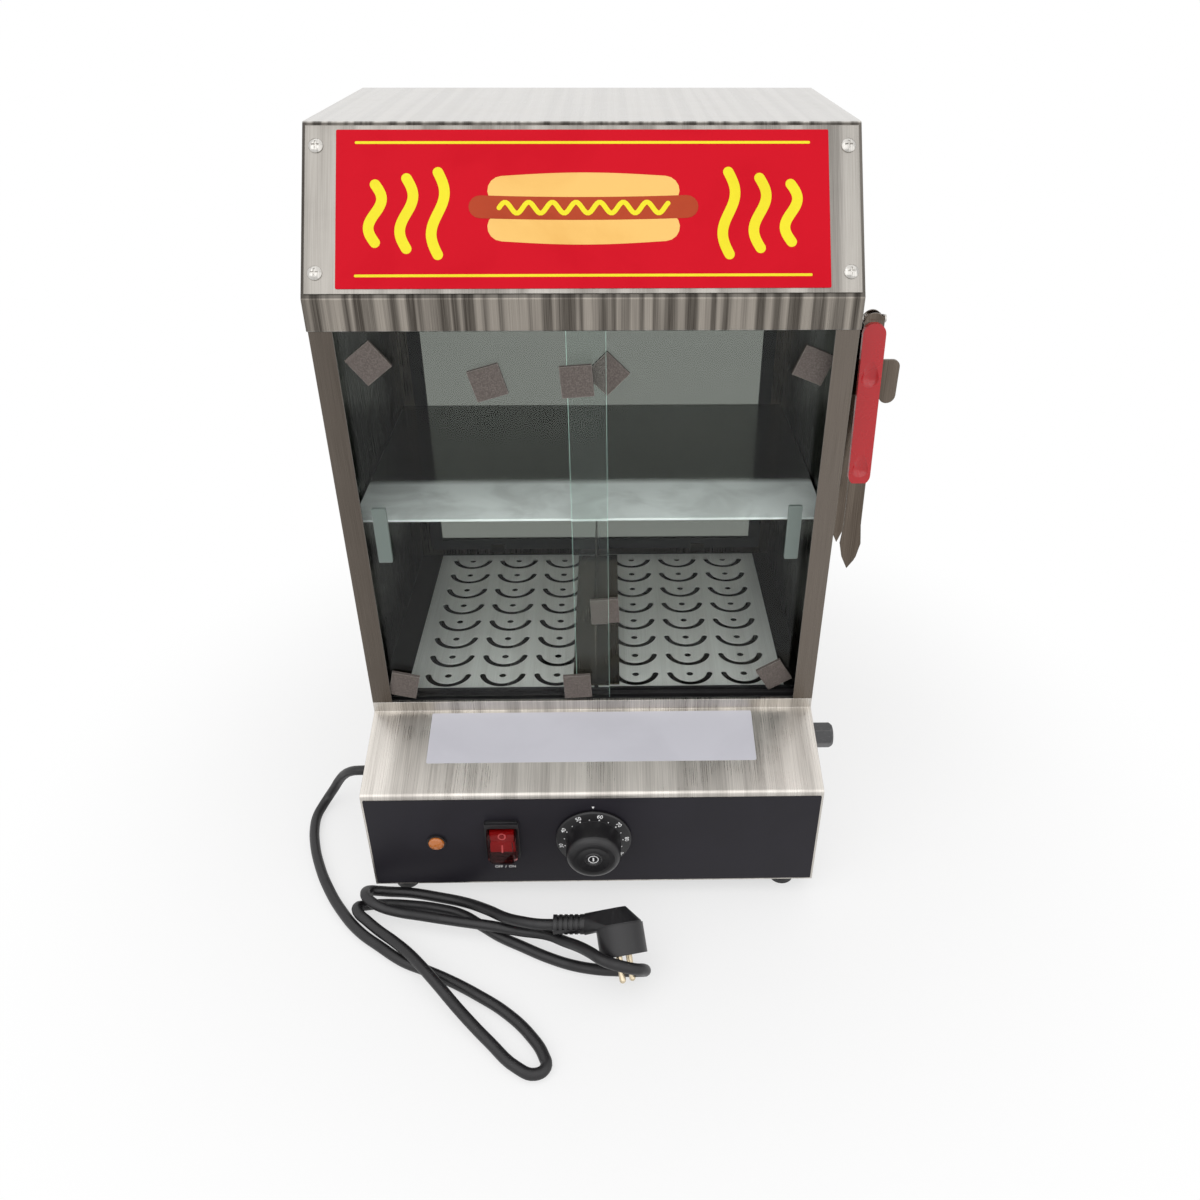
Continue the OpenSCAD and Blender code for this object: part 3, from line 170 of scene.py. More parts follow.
def scaled_place(tree, factor):
    """The place on the object times a number or vector socket."""
    scale = tree.nodes.new("ShaderNodeVectorMath")
    scale.operation = "MULTIPLY"
    tree.links.new(object_place(tree), scale.inputs[0])
    tree.links.new(factor, scale.inputs[1])
    return scale.outputs[0]


def axes(tree, vector):
    """The X, Y and Z of a vector socket."""
    parts = tree.nodes.new("ShaderNodeSeparateXYZ")
    tree.links.new(vector, parts.inputs[0])
    return parts.outputs


def noise(tree, vector, detail, roughness=0.55, distortion=0.0):
    """The value of a Noise Texture at a place that is scaled already."""
    node = tree.nodes.new("ShaderNodeTexNoise")
    node.inputs["Scale"].default_value = 1.0
    node.inputs["Detail"].default_value = detail
    node.inputs["Roughness"].default_value = roughness
    node.inputs["Distortion"].default_value = distortion
    tree.links.new(vector, node.inputs["Vector"])
    return node.outputs[0]


def make_brush_lines():
    """Lines of a brushing belt, and the broad light and dark bands they throw."""
    group, given, made = effect("brush_lines", [
        ("Line Stretch", "NodeSocketVector", SHEET_LINES),
        ("Band Stretch", "NodeSocketVector", SHEET_BANDS)],
        [("Lines", "NodeSocketFloat"), ("Bands", "NodeSocketFloat")])
    lines = noise(group, scaled_place(group, given.outputs["Line Stretch"]), 4.0, 0.6)
    bands = noise(group, scaled_place(group, given.outputs["Band Stretch"]), 1.5, 0.5, 0.2)
    group.links.new(spread(group, lines, 0.3, 0.7), made.inputs["Lines"])
    group.links.new(spread(group, bands, 0.36, 0.64), made.inputs["Bands"])
    return group


def make_handling_marks():
    """Dull patches from hands, water and wiping, and small specks of dirt."""
    group, given, made = effect("handling_marks", [("Size", "NodeSocketFloat", 30.0)],
                                [("Patches", "NodeSocketFloat"), ("Specks", "NodeSocketFloat")])
    for label, finer, detail, low, high in (("Patches", 1.0, 4.0, 0.42, 0.72),
                                            ("Specks", 22.0, 2.0, 0.66, 0.74)):
        size = maths(group, "MULTIPLY", given.outputs["Size"], finer)
        cloud = noise(group, scaled_place(group, size), detail, 0.55, 0.6)
        group.links.new(spread(group, cloud, low, high), made.inputs[label])
    return group


def make_soft_corners():
    """A rounded normal along sharp corners, and a mask of those corners."""
    group, given, made = effect("soft_corners", [("Radius", "NodeSocketFloat", 0.0005)],
                                [("Normal", "NodeSocketVector"), ("Corner", "NodeSocketFloat")])
    bevel = group.nodes.new("ShaderNodeBevel")
    bevel.samples = 4
    group.links.new(given.outputs["Radius"], bevel.inputs["Radius"])
    plain = group.nodes.new("ShaderNodeNewGeometry")
    dot = group.nodes.new("ShaderNodeVectorMath")
    dot.operation = "DOT_PRODUCT"
    group.links.new(bevel.outputs[0], dot.inputs[0])
    group.links.new(plain.outputs["Normal"], dot.inputs[1])
    group.links.new(bevel.outputs[0], made.inputs["Normal"])
    bent = maths(group, "SUBTRACT", 1.0, dot.outputs["Value"])
    group.links.new(spread(group, bent, 0.02, 0.25), made.inputs["Corner"])
    return group


def make_moulded_grain():
    """The fine pebbled skin of a moulding."""
    group, given, made = effect("moulded_grain", [("Size", "NodeSocketFloat", 1800.0)],
                                [("Height", "NodeSocketFloat")])
    place = scaled_place(group, given.outputs["Size"])
    cells = group.nodes.new("ShaderNodeTexVoronoi")
    cells.inputs["Scale"].default_value = 1.0
    group.links.new(place, cells.inputs["Vector"])
    pebbles = maths(group, "ADD", cells.outputs["Distance"], noise(group, place, 2.0))
    group.links.new(pebbles, made.inputs["Height"])
    return group


brush_lines = make_brush_lines()
handling_marks = make_handling_marks()
soft_corners = make_soft_corners()
moulded_grain = make_moulded_grain()


class Finish:
    """A material with one Principled shader, and short calls to place effects in it."""

    def __init__(self, name, metallic=0.0, roughness=0.5):
        self.material = bpy.data.materials.new(name)
        self.material.use_nodes = True
        self.tree = self.material.node_tree
        self.tree.nodes.clear()
        self.output = self.tree.nodes.new("ShaderNodeOutputMaterial")
        self.shader = self.tree.nodes.new("ShaderNodeBsdfPrincipled")
        self.tree.links.new(self.shader.outputs[0], self.output.inputs[0])
        self.set("Metallic", metallic)
        self.set("Roughness", roughness)

    def set(self, label, value):
        """Gives one of the shader's inputs a plain value."""
        self.shader.inputs[label].default_value = value

    def feed(self, label, socket):
        """Links a socket to one of the shader's inputs."""
        self.tree.links.new(socket, self.shader.inputs[label])

    def place(self, group, **values):
        """Places an effect with these inputs and gives its outputs. An underscore stands for a space."""
        node = self.tree.nodes.new("ShaderNodeGroup")
        node.node_tree = group
        for label, value in values.items():
            node.inputs[label.replace("_", " ")].default_value = value
        return node.outputs

    def blend(self, amount, first, second, way="MIX"):
        """Mixes two colours, each a plain value or a socket, by a mask."""
        node = self.tree.nodes.new("ShaderNodeMix")
        node.data_type = "RGBA"
        node.blend_type = way
        self.tree.links.new(amount, node.inputs[0])
        for slot, value in ((6, first), (7, second)):    # the node's two colour inputs
            if isinstance(value, tuple):
                node.inputs[slot].default_value = value
            else:
                self.tree.links.new(value, node.inputs[slot])
        return node.outputs[2]                           # its colour output

    def bump(self, height, strength, distance, normal):
        """Raises the surface by a height, over a normal, and feeds that to the shader."""
        node = self.tree.nodes.new("ShaderNodeBump")
        node.inputs["Strength"].default_value = strength
        node.inputs["Distance"].default_value = distance
        self.tree.links.new(height, node.inputs["Height"])
        self.tree.links.new(normal, node.inputs["Normal"])
        self.feed("Normal", node.outputs[0])


def brushed_sheet(name, light, dark, roughness, lines=SHEET_LINES, bands=SHEET_BANDS, contrast=0.6,
                  inner=None, roof=None, slope=None, front=None, metallic=1.0):
    """Belt-brushed stainless sheet. With inner, the faces that look into the cabinet take that colour as
    painted shade, and with roof, the level faces on top do, as painted light. With slope or front, those
    faces are darkened by it as painted shade."""
    finish = Finish(name, metallic=metallic)
    tree = finish.tree
    brushed = finish.place(brush_lines, Line_Stretch=lines, Band_Stretch=bands)
    marks = finish.place(handling_marks, Size=26.0)
    corner = finish.place(soft_corners, Radius=0.0006)
    shade = maths(tree, "ADD", maths(tree, "MULTIPLY", brushed["Bands"], contrast),
                  maths(tree, "MULTIPLY", brushed["Lines"], 1.0 - contrast))
    colour = finish.blend(shade, dark, light)
    facing = axes(tree, tree.nodes.new("ShaderNodeNewGeometry").outputs["Normal"])
    # painted light: the level faces on top are blended towards a lighter colour
    if roof:
        level = spread(tree, facing["Z"], 0.97, 0.99, 0.0, 0.88)
        colour = finish.blend(level, colour, roof)
    # painted shade: the sloped faces are darkened
    if slope:
        sloped = maths(tree, "MULTIPLY", spread(tree, facing["Z"], 0.3, 0.5),
                       spread(tree, facing["Z"], 0.7, 0.9, 1.0, 0.0))
        colour = finish.blend(sloped, colour, slope, "MULTIPLY")
    # painted shade: the faces that look to the front are darkened
    if front:
        ahead = spread(tree, facing["Y"], -0.95, -0.85, 1.0, 0.0)
        colour = finish.blend(ahead, colour, front, "MULTIPLY")
    # painted shade: the faces that look into the cabinet take a dark colour
    if inner:
        across = maths(tree, "ADD", axes(tree, object_place(tree))["X"], FRAME_ORIGIN.x)
        inward = spread(tree, maths(tree, "MULTIPLY", across, facing["X"]), -0.05, -0.02, 1.0, 0.0)
        colour = finish.blend(inward, colour, inner)
    colour = finish.blend(maths(tree, "MULTIPLY", corner["Corner"], 0.5), colour, light)
    finish.feed("Base Color", colour)
    dulled = maths(tree, "MULTIPLY", marks["Patches"], 0.1)
    streaks = spread(tree, brushed["Lines"], 0.0, 1.0, roughness - 0.05, roughness + 0.07)
    finish.feed("Roughness", maths(tree, "ADD", dulled, streaks))
    finish.bump(brushed["Lines"], 0.12, 0.00003, corner["Normal"])
    return finish.material


def moulding(name, colour, worn, roughness, grain=1800.0, depth=0.25, corner_radius=0.0004, gloss=0.0):
    """A moulded plastic or rubber piece, paler where corners are rubbed."""
    finish = Finish(name, roughness=roughness)
    tree = finish.tree
    skin = finish.place(moulded_grain, Size=grain)
    marks = finish.place(handling_marks, Size=45.0)
    corner = finish.place(soft_corners, Radius=corner_radius)
    dusty = finish.blend(maths(tree, "MULTIPLY", marks["Specks"], 0.35), colour, worn)
    finish.feed("Base Color", finish.blend(maths(tree, "MULTIPLY", corner["Corner"], 0.35), dusty, worn))
    finish.feed("Roughness", spread(tree, marks["Patches"], 0.0, 1.0, roughness, roughness + 0.14))
    if gloss:
        finish.set("Coat Weight", gloss)
        finish.set("Coat Roughness", 0.08)
    finish.bump(skin["Height"], depth, 0.00004, corner["Normal"])
    return finish.material


def clear_sheet(name, tint, edge, roughness, index=1.5, clear=1.0, rim=0.0):
    """Glass or clear plastic that lets the lamps' light through to what is behind it."""
    finish = Finish(name, roughness=roughness)
    tree = finish.tree
    finish.set("Transmission Weight", clear)
    finish.set("IOR", index)
    marks = finish.place(handling_marks, Size=38.0)
    corner = finish.place(soft_corners, Radius=0.0007)
    dimmer = tuple(0.96 * part for part in tint[:3]) + (1.0,)
    smeared = finish.blend(maths(tree, "MULTIPLY", marks["Patches"], 0.25), tint, dimmer)
    finish.feed("Base Color", finish.blend(corner["Corner"], smeared, edge))
    finish.feed("Emission Color", finish.blend(corner["Corner"], tone(0, 0, 0), edge))
    finish.set("Emission Strength", rim)                 # painted glow: emission along the rim that stands in for the light the sheet pipes to its edges
    path = tree.nodes.new("ShaderNodeLightPath")
    open_air = tree.nodes.new("ShaderNodeBsdfTransparent")
    open_air.inputs[0].default_value = (0.97, 0.97, 0.97, 1.0)
    either = tree.nodes.new("ShaderNodeMixShader")
    tree.links.new(path.outputs["Is Shadow Ray"], either.inputs[0])
    tree.links.new(finish.shader.outputs[0], either.inputs[1])
    tree.links.new(open_air.outputs[0], either.inputs[2])
    tree.links.new(either.outputs[0], finish.output.inputs[0])
    return finish.material


LIT_STRIP_EDGE = (0.154, 0.168)             # the shelf's painted lit strip along the front fades out between these depths


def shelf_finish():
    """Mirror-polished sheet, with a painted pale lit strip along the front and a dark tone behind it that
    stands in for shade.
    """
    finish = Finish("shelf_polished_steel", metallic=1.0)
    tree = finish.tree
    marks = finish.place(handling_marks, Size=20.0)
    corner = finish.place(soft_corners, Radius=0.0005)
    lit_full, lit_gone = (at(0.0, depth, 0.0).y for depth in LIT_STRIP_EDGE)
    front = spread(tree, axes(tree, object_place(tree))["Y"], lit_full, lit_gone, 1.0, 0.0)
    # painted light: a pale, non-metallic strip at the front; painted shade: dark grey-green behind it
    finish.feed("Metallic", maths(tree, "SUBTRACT", 1.0, front))
    colour = finish.blend(front, tone(90, 94, 89), tone(250, 253, 252))
    colour = finish.blend(maths(tree, "MULTIPLY", marks["Patches"], 0.3), colour, tone(104, 104, 98))
    finish.feed("Base Color", finish.blend(corner["Corner"], colour, tone(200, 202, 200)))
    finish.feed("Roughness", spread(tree, marks["Patches"], 0.0, 1.0, 0.1, 0.24))
    finish.bump(marks["Patches"], 0.05, 0.0002, corner["Normal"])
    return finish.material


def printed_sheet(name, colour, shade, roughness, gloss, shine=0.5):
    """A printed film with a fine surface and faint unevenness."""
    finish = Finish(name, roughness=roughness)
    tree = finish.tree
    finish.set("Specular IOR Level", shine)
    marks = finish.place(handling_marks, Size=14.0)
    skin = finish.place(moulded_grain, Size=2400.0)
    corner = finish.place(soft_corners, Radius=0.0002)
    finish.feed("Base Color", finish.blend(maths(tree, "MULTIPLY", marks["Patches"], 0.6), colour, shade))
    finish.feed("Roughness", spread(tree, marks["Patches"], 0.0, 1.0, roughness, roughness + 0.1))
    finish.set("Coat Weight", gloss)
    finish.set("Coat Roughness", 0.12)
    finish.bump(skin["Height"], 0.06, 0.00002, corner["Normal"])
    return finish.material


def cork_and_foam():
    """The doors' spacer pads: brown-grey cork with paler crumbs."""
    finish = Finish("cork_pad", roughness=0.85)
    tree = finish.tree
    crumbs = finish.place(moulded_grain, Size=900.0)
    marks = finish.place(handling_marks, Size=160.0)
    corner = finish.place(soft_corners, Radius=0.0004)
    colour = finish.blend(spread(tree, crumbs["Height"], 0.5, 1.3), tone(110, 102, 97), tone(88, 80, 76))
    colour = finish.blend(maths(tree, "MULTIPLY", marks["Specks"], 0.5), colour, tone(142, 132, 124))
    # painted highlight: the pads are made much paler along their corners, where the edges catch the light
    colour = finish.blend(maths(tree, "MULTIPLY", corner["Corner"], 0.8), colour, tone(214, 208, 200))
    finish.feed("Base Color", colour)
    finish.bump(crumbs["Height"], 0.5, 0.0002, corner["Normal"])
    return finish.material


finishes = {
    "brushed_steel": brushed_sheet("brushed_steel", tone(220, 215, 208), tone(164, 159, 153), 0.3,
                                   contrast=0.45),
    # hood: painted light on the level top (roof), painted shade on the sloped faces (slope) and on the
    # front faces (front)
    "hood_steel": brushed_sheet("hood_brushed_steel", tone(204, 200, 194), tone(84, 80, 76), 0.32,
                                bands=(150.0, 1.5, 1.5), contrast=0.7, roof=tone(214, 212, 209),
                                slope=tone(134, 131, 128), front=tone(206, 201, 195)),
    "sign_steel": brushed_sheet("sign_brushed_steel", tone(166, 162, 156), tone(112, 108, 103), 0.34,
                                bands=(55.0, 1.5, 1.5), contrast=0.6),
    # uprights: painted shade on the faces that look into the cabinet (inner) and on the front faces
    # (front)
    "upright_steel": brushed_sheet("upright_brushed_steel", tone(192, 190, 187), tone(142, 139, 135), 0.28,
                                   UPRIGHT_LINES, UPRIGHT_BANDS, 0.6, inner=tone(44, 42, 38),
                                   front=tone(158, 149, 141)),
    # inner_steel: painted shade, the steel inside the cabinet is made dark to stand in for the shade in
    # there, which also darkens the trays' slots
    "inner_steel": brushed_sheet("inner_steel", tone(64, 61, 56), tone(40, 37, 34), 0.34,
                                 UPRIGHT_LINES, UPRIGHT_BANDS, 0.4),
    "polished_steel": brushed_sheet("polished_steel", tone(212, 209, 204), tone(170, 167, 162), 0.14,
                                    contrast=0.3),
    "blade_steel": brushed_sheet("blade_steel", tone(118, 108, 98), tone(78, 69, 61), 0.16, contrast=0.3),
    "shelf_steel": shelf_finish(),
    "window_glass": clear_sheet("window_glass", tone(118, 120, 115), tone(112, 122, 116), 0.0, 1.2),
    "tray_steel": brushed_sheet("tray_steel", tone(252, 251, 248), tone(230, 228, 224), 0.36, contrast=0.4,
                                metallic=0.35),
    "element_steel": brushed_sheet("element_steel", tone(150, 146, 140), tone(104, 100, 96), 0.42,
                                   contrast=0.5),
    "pin_metal": brushed_sheet("pin_metal", tone(222, 208, 182), tone(186, 170, 142), 0.24, contrast=0.3),
    "brass": brushed_sheet("brass", tone(206, 170, 96), tone(160, 126, 62), 0.3, contrast=0.4),
    "copper": brushed_sheet("copper", tone(204, 128, 92), tone(150, 84, 58), 0.32, contrast=0.4),
    "sign_red": printed_sheet("sign_red_film", tone(206, 2, 30), tone(198, 2, 28), 0.5, 0.0, 0.12),
    "overlay_black": printed_sheet("control_film", tone(34, 32, 38), tone(40, 38, 45), 0.36, 0.0, 0.2),
    "track_black": moulding("track_black", tone(30, 29, 30), tone(74, 72, 72), 0.45),
    "glass": clear_sheet("door_glass", tone(246, 251, 249), tone(176, 206, 196), 0.0, 1.22, rim=0.8),
    "pull_clear": clear_sheet("frosted_pull", tone(158, 172, 166), tone(196, 208, 203), 0.3, clear=0.6),
    "cover_clear": clear_sheet("clear_cover", tone(214, 132, 132), tone(190, 96, 96), 0.0, 1.2),
    "pad_cork": cork_and_foam(),
    "seal_rubber": moulding("seal_rubber", tone(24, 23, 24), tone(58, 56, 56), 0.6),
    "rubber": moulding("rubber", tone(27, 26, 28), tone(66, 63, 65), 0.42, 2200.0, 0.2),
    "dial_black": moulding("dial_black", tone(24, 23, 25), tone(66, 64, 67), 0.32, 2600.0, 0.12),
    "switch_black": moulding("switch_black", tone(24, 23, 25), tone(96, 94, 96), 0.4),
    "switch_red": moulding("switch_red", tone(150, 0, 10), tone(176, 16, 22), 0.25, 2600.0, 0.05,
                           gloss=0.15),
    "lamp_amber": moulding("lamp_amber", tone(188, 104, 28), tone(226, 160, 80), 0.18, 1500.0, 0.05,
                           gloss=0.7),
    "terminal_ivory": moulding("terminal_ivory", tone(226, 220, 200), tone(240, 236, 222), 0.5),
    "cap_grey": moulding("cap_grey", tone(66, 66, 68), tone(206, 206, 204), 0.36, corner_radius=0.0012),
    "grip_red": moulding("grip_red", tone(176, 2, 16), tone(196, 30, 40), 0.22, 2600.0, 0.06, gloss=0.3),
    "mark_white": printed_sheet("mark_white", tone(248, 248, 248), tone(236, 236, 236), 0.5, 0.0),
    "print_yellow": printed_sheet("print_yellow", tone(240, 226, 44), tone(232, 212, 36), 0.4, 0.0, 0.15),
    "print_bun": printed_sheet("print_bun", tone(244, 196, 112), tone(232, 176, 92), 0.4, 0.0, 0.15),
    "print_sausage": printed_sheet("print_sausage", tone(178, 66, 34), tone(150, 48, 24), 0.4, 0.0, 0.15),
    "deck_film": printed_sheet("deck_film", tone(208, 207, 215), tone(199, 198, 206), 0.3, 0.2),
}

# Nodes whose finish differs from their slot's own
OWN_FINISH = {
    "hood_shell": "hood_steel", "sign_plate": "sign_steel", "left_side_panel": "upright_steel",
    "right_side_panel": "upright_steel", "back_frame": "upright_steel", "back_window": "window_glass",
    "shelf": "shelf_steel", "divider": "blade_steel", "tongs_holder": "blade_steel",
    "tongs_front_arm": "blade_steel", "tongs_back_arm": "blade_steel"}
for name, node in nodes.items():
    for material_slot in node.material_slots:
        plain = material_slot.material.name.split(".")[0]
        material_slot.link = "OBJECT"
        material_slot.material = finishes[OWN_FINISH.get(name, plain)]
power_lead.data.materials.append(finishes["rubber"])


# ---------------------------------------------------------------- printed and applied pieces
PRINT_SINK = 0.00002                     # how far a print's underside lies in its sheet
INK = 0.00006                            # one layer of ink


def keep(name, mesh_maker, finish, body):
    """Makes a mesh piece, gives it its finish and lets it ride on a body."""
    work = bmesh.new()
    mesh_maker(work)
    bmesh.ops.recalc_face_normals(work, faces=work.faces)
    mesh = bpy.data.meshes.new(name)
    work.to_mesh(mesh)
    work.free()
    mesh.materials.append(finishes[finish])
    piece = bpy.data.objects.new(name, mesh)
    bpy.context.scene.collection.objects.link(piece)
    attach(piece, body)


def add_film(work, outline, low, high, place):
    """Adds a flat printed shape with that outline, from height low to high over a place."""
    lower = [work.verts.new(place @ Vector((x, y, low))) for x, y in outline]
    upper = [work.verts.new(place @ Vector((x, y, high))) for x, y in outline]
    count = len(outline)
    faces = [work.faces.new(upper), work.faces.new(lower[::-1])]
    for k in range(count):
        work.faces.new((lower[k], lower[(k + 1) % count], upper[(k + 1) % count], upper[k]))
    bmesh.ops.triangulate(work, faces=faces)


def add_ring(work, outer, inner, low, high, place):
    """Adds a flat printed ring between two outlines with as many points, from height low to high."""
    count = len(outer)
    rows = [[work.verts.new(place @ Vector((x, y, height))) for x, y in outline]
            for outline, height in ((outer, high), (inner, high), (inner, low), (outer, low))]
    for row, other in zip(rows, rows[1:] + rows[:1]):
        for k in range(count):
            work.faces.new((row[k], row[(k + 1) % count], other[(k + 1) % count], other[k]))


def even_steps(count):
    """Evenly spaced values from -1 to 1, both included."""
    return [2 * k / count - 1 for k in range(count + 1)]


def ring_points(radius_x, radius_y, middle=(0.0, 0.0), first=0.0, last=360.0, steps=24):
    """Points on a ring or, with first and last, on an arc from one angle in degrees to the other. Only an
    arc has its last point, which on a ring would be the first again."""
    return [(middle[0] + radius_x * math.cos(math.radians(first + (last - first) * k / steps)),
             middle[1] + radius_y * math.sin(math.radians(first + (last - first) * k / steps)))
            for k in range(steps + (last - first < 360.0))]


def rounded_outline(width, height, corner, middle=(0.0, 0.0), steps=6):
    """A rectangle with round corners."""
    points = []
    for sx, sy, first in ((1, 1, 0), (-1, 1, 90), (-1, -1, 180), (1, -1, 270)):
        centre = (middle[0] + sx * (width / 2 - corner), middle[1] + sy * (height / 2 - corner))
        points += ring_points(corner, corner, centre, first, first + 90.0, steps)
    return points


def stroke(line, width, steps=8):
    """The outline of a stroke of that width along a line of points, with round ends."""
    half = width / 2
    left, right = [], []
    for k, (x, y) in enumerate(line):
        before, after = line[max(k - 1, 0)], line[min(k + 1, len(line) - 1)]
        dx, dy = after[0] - before[0], after[1] - before[1]
        size = math.hypot(dx, dy)
        left.append((x - dy / size * half, y + dx / size * half))
        right.append((x + dy / size * half, y - dx / size * half))

    def cap(end, near):
        turn = math.degrees(math.atan2(end[1] - near[1], end[0] - near[0]))
        return ring_points(half, half, end, turn + 90, turn - 90, steps)[1:-1]
    return left + cap(line[-1], line[-2]) + right[::-1] + cap(line[0], line[1])


def on_plane(middle, tilt):
    """The sheet's own axes: X across, Y up its slope, Z out of its face."""
    return Matrix.Translation(at(*middle)) @ Matrix.Rotation(tilt, 4, "X")


sign_plane = on_plane(SIGN_FOOT, SIGN_TILT)
SIGN_FACE = 0.0012                       # the sign sheet's face over the hood


def print_on_sign(work, outline, layers=1):
    """Prints a shape on the sign, with that many layers of ink."""
    add_film(work, outline, SIGN_FACE - PRINT_SINK, SIGN_FACE + layers * INK, sign_plane)


def bun(work):
    """The two halves of a long split bun, seen from above."""
    reach, width = 0.052, 0.0190
    for middle, bulge in ((0.0700, 0.0022), (0.0462, -0.0022)):
        half = [(reach * t, middle + bulge * math.cos(t * math.pi / 2)) for t in even_steps(20)]
        print_on_sign(work, stroke(half, width))


def sausage(work):
    """The sausage, longer than the bun and bowed up a little at its ends."""
    reach, width, middle, bow = 0.066, 0.0150, 0.0581, 0.0012
    line = [(reach * t, middle + bow * t * t) for t in even_steps(20)]
    print_on_sign(work, stroke(line, width), layers=2)


def mustard(work):
    """A wavy line along the sausage."""
    reach, width, middle, swing, waves = 0.054, 0.0032, 0.0586, 0.0036, 50 / 7
    line = [(reach * t, middle + swing * math.sin((t + 1) * waves * math.pi)) for t in even_steps(100)]
    print_on_sign(work, stroke(line, width), layers=3)


def steam_waves(work):
    """Three rising waves at each side of the picture, and a thin line below and above it."""
    inmost, apart = 0.093, 0.020
    tallest, shorter = 0.027, 0.004
    middle, swing, width = 0.055, 0.0042, 0.0068
    for side in (-1, 1):
        for column in range(3):
            x = side * (inmost + apart * column)
            reach = tallest - shorter * column
            wave = [(x + swing * math.sin(t * math.pi), middle + reach * t) for t in even_steps(24)]
            print_on_sign(work, stroke(wave, width))
    line_length, line_width, line_corner = 0.292, 0.0018, 0.0008
    for y in (0.0145, 0.1015):
        print_on_sign(work, rounded_outline(line_length, line_width, line_corner, (0.0, y)))


keep("sign_bun_print", bun, "print_bun", "cabinet")
keep("sign_sausage_print", sausage, "print_sausage", "cabinet")
keep("sign_mustard_print", mustard, "print_yellow", "cabinet")
keep("sign_steam_print", steam_waves, "print_yellow", "cabinet")


def deck_film(work):
    """The bare pale film on the deck, between two depths behind the front face."""
    front, back = 0.0277, 0.0730
    width, corner, middle = 0.262, 0.0015, -0.001
    low, high = (depth / math.cos(DECK_TILT) for depth in (front, back))
    outline = rounded_outline(width, high - low, corner, (middle, (low + high) / 2))
    add_film(work, outline, -PRINT_SINK, 2 * INK, on_plane(FACE_TOP, DECK_TILT))


keep("deck_film", deck_film, "deck_film", "cabinet")


CAPITAL = 0.7                            # a capital's height as a share of the lettering's size
LETTER_RISE = 0.00005                    # over the face, and as much below it


def add_words(work, words, height, place, weight):
    """Adds plain lettering or numerals on a face; weight makes their strokes heavier."""
    curve = bpy.data.curves.new("lettering", "FONT")
    curve.body = words
    curve.size = height / CAPITAL
    curve.align_x, curve.align_y = "CENTER", "CENTER"
    curve.offset = weight
    curve.extrude = LETTER_RISE
    curve.resolution_u = 3
    sample = bpy.data.objects.new("lettering", curve)
    bpy.context.scene.collection.objects.link(sample)
    bpy.context.view_layer.update()
    mesh = bpy.data.meshes.new_from_object(sample.evaluated_get(bpy.context.evaluated_depsgraph_get()))
    mesh.transform(place)
    work.from_mesh(mesh)
    bpy.data.objects.remove(sample)
    bpy.data.curves.remove(curve)
    bpy.data.meshes.remove(mesh)


SKIRT_EDGE = 0.029                       # radius where the dial's skirt starts to rise
SKIRT_START = 0.0037                     # the skirt's height there, ahead of the front face
SKIRT_SLOPE = 1.2 / 7.0                  # its rise towards the knob
DIAL_FIRST = -102.0                      # where the numeral 30 stands, in degrees clockwise from the top
DIAL_STEP = 18.95                        # degrees from one mark to the next
DOT_CIRCLE, NUMERAL_CIRCLE = 0.0233, 0.0263


def on_skirt(angle, radius):
    """A place on the dial's conical skirt: X along the rim, Y outward, Z off the face."""
    tilt = math.atan(SKIRT_SLOPE)
    outward = Vector((math.sin(angle), 0.0, math.cos(angle)))
    ahead = Vector((0.0, -1.0, 0.0))
    face = math.cos(tilt) * ahead + math.sin(tilt) * outward
    up = math.cos(tilt) * outward - math.sin(tilt) * ahead
    side = up.cross(face)
    height = SKIRT_START + (SKIRT_EDGE - radius) * SKIRT_SLOPE
    middle = at(*DIAL_MIDDLE) + radius * outward + height * ahead
    turn = Matrix((side, up, face)).transposed().to_4x4()
    return Matrix.Translation(middle) @ turn


def dial_numbers(work):
    """Numerals from 30 to 100 round the skirt, with a dot at each and at each half step."""
    large_dot, small_dot, sink, rise = 0.00062, 0.00046, 0.00004, 0.00005
    numeral_height, weight = 0.0033, 0.00004
    for step, value in enumerate(range(30, 101, 5)):
        angle = math.radians(DIAL_FIRST + DIAL_STEP * step)
        whole = value % 10 == 0
        dot = large_dot if whole else small_dot
        add_film(work, ring_points(dot, dot, steps=12), -sink, rise, on_skirt(angle, DOT_CIRCLE))
        if whole:
            add_words(work, str(value), numeral_height, on_skirt(angle, NUMERAL_CIRCLE), weight)


keep("dial_numbers", dial_numbers, "mark_white", "dial")


def flat_on_front(x, z, y):
    """A place on an upright face that looks to the front."""
    return Matrix.Translation(at(x, y, z)) @ Matrix.Rotation(math.pi / 2, 4, "X")


KNOB_DISH = -0.0240                      # depth of the face in the knob's dish


def knob_ring(work):
    """The fine ring in the dish of the knob, and the bar that points to the number."""
    outer, inner, sink, rise = 0.0041, 0.0034, 0.0001, 0.00008
    bar_width, bar_length, bar_corner = 0.0012, 0.0042, 0.0005
    face = flat_on_front(DIAL_MIDDLE.x, DIAL_MIDDLE.z, KNOB_DISH)
    outlines = [ring_points(radius, radius, steps=48) for radius in (outer, inner)]
    add_ring(work, *outlines, -sink, rise, face)
    add_film(work, rounded_outline(bar_width, bar_length, bar_corner), -sink, rise, face)


keep("knob_ring", knob_ring, "mark_white", "dial")


FASCIA_FACE = -0.0005                    # depth of the control film's face


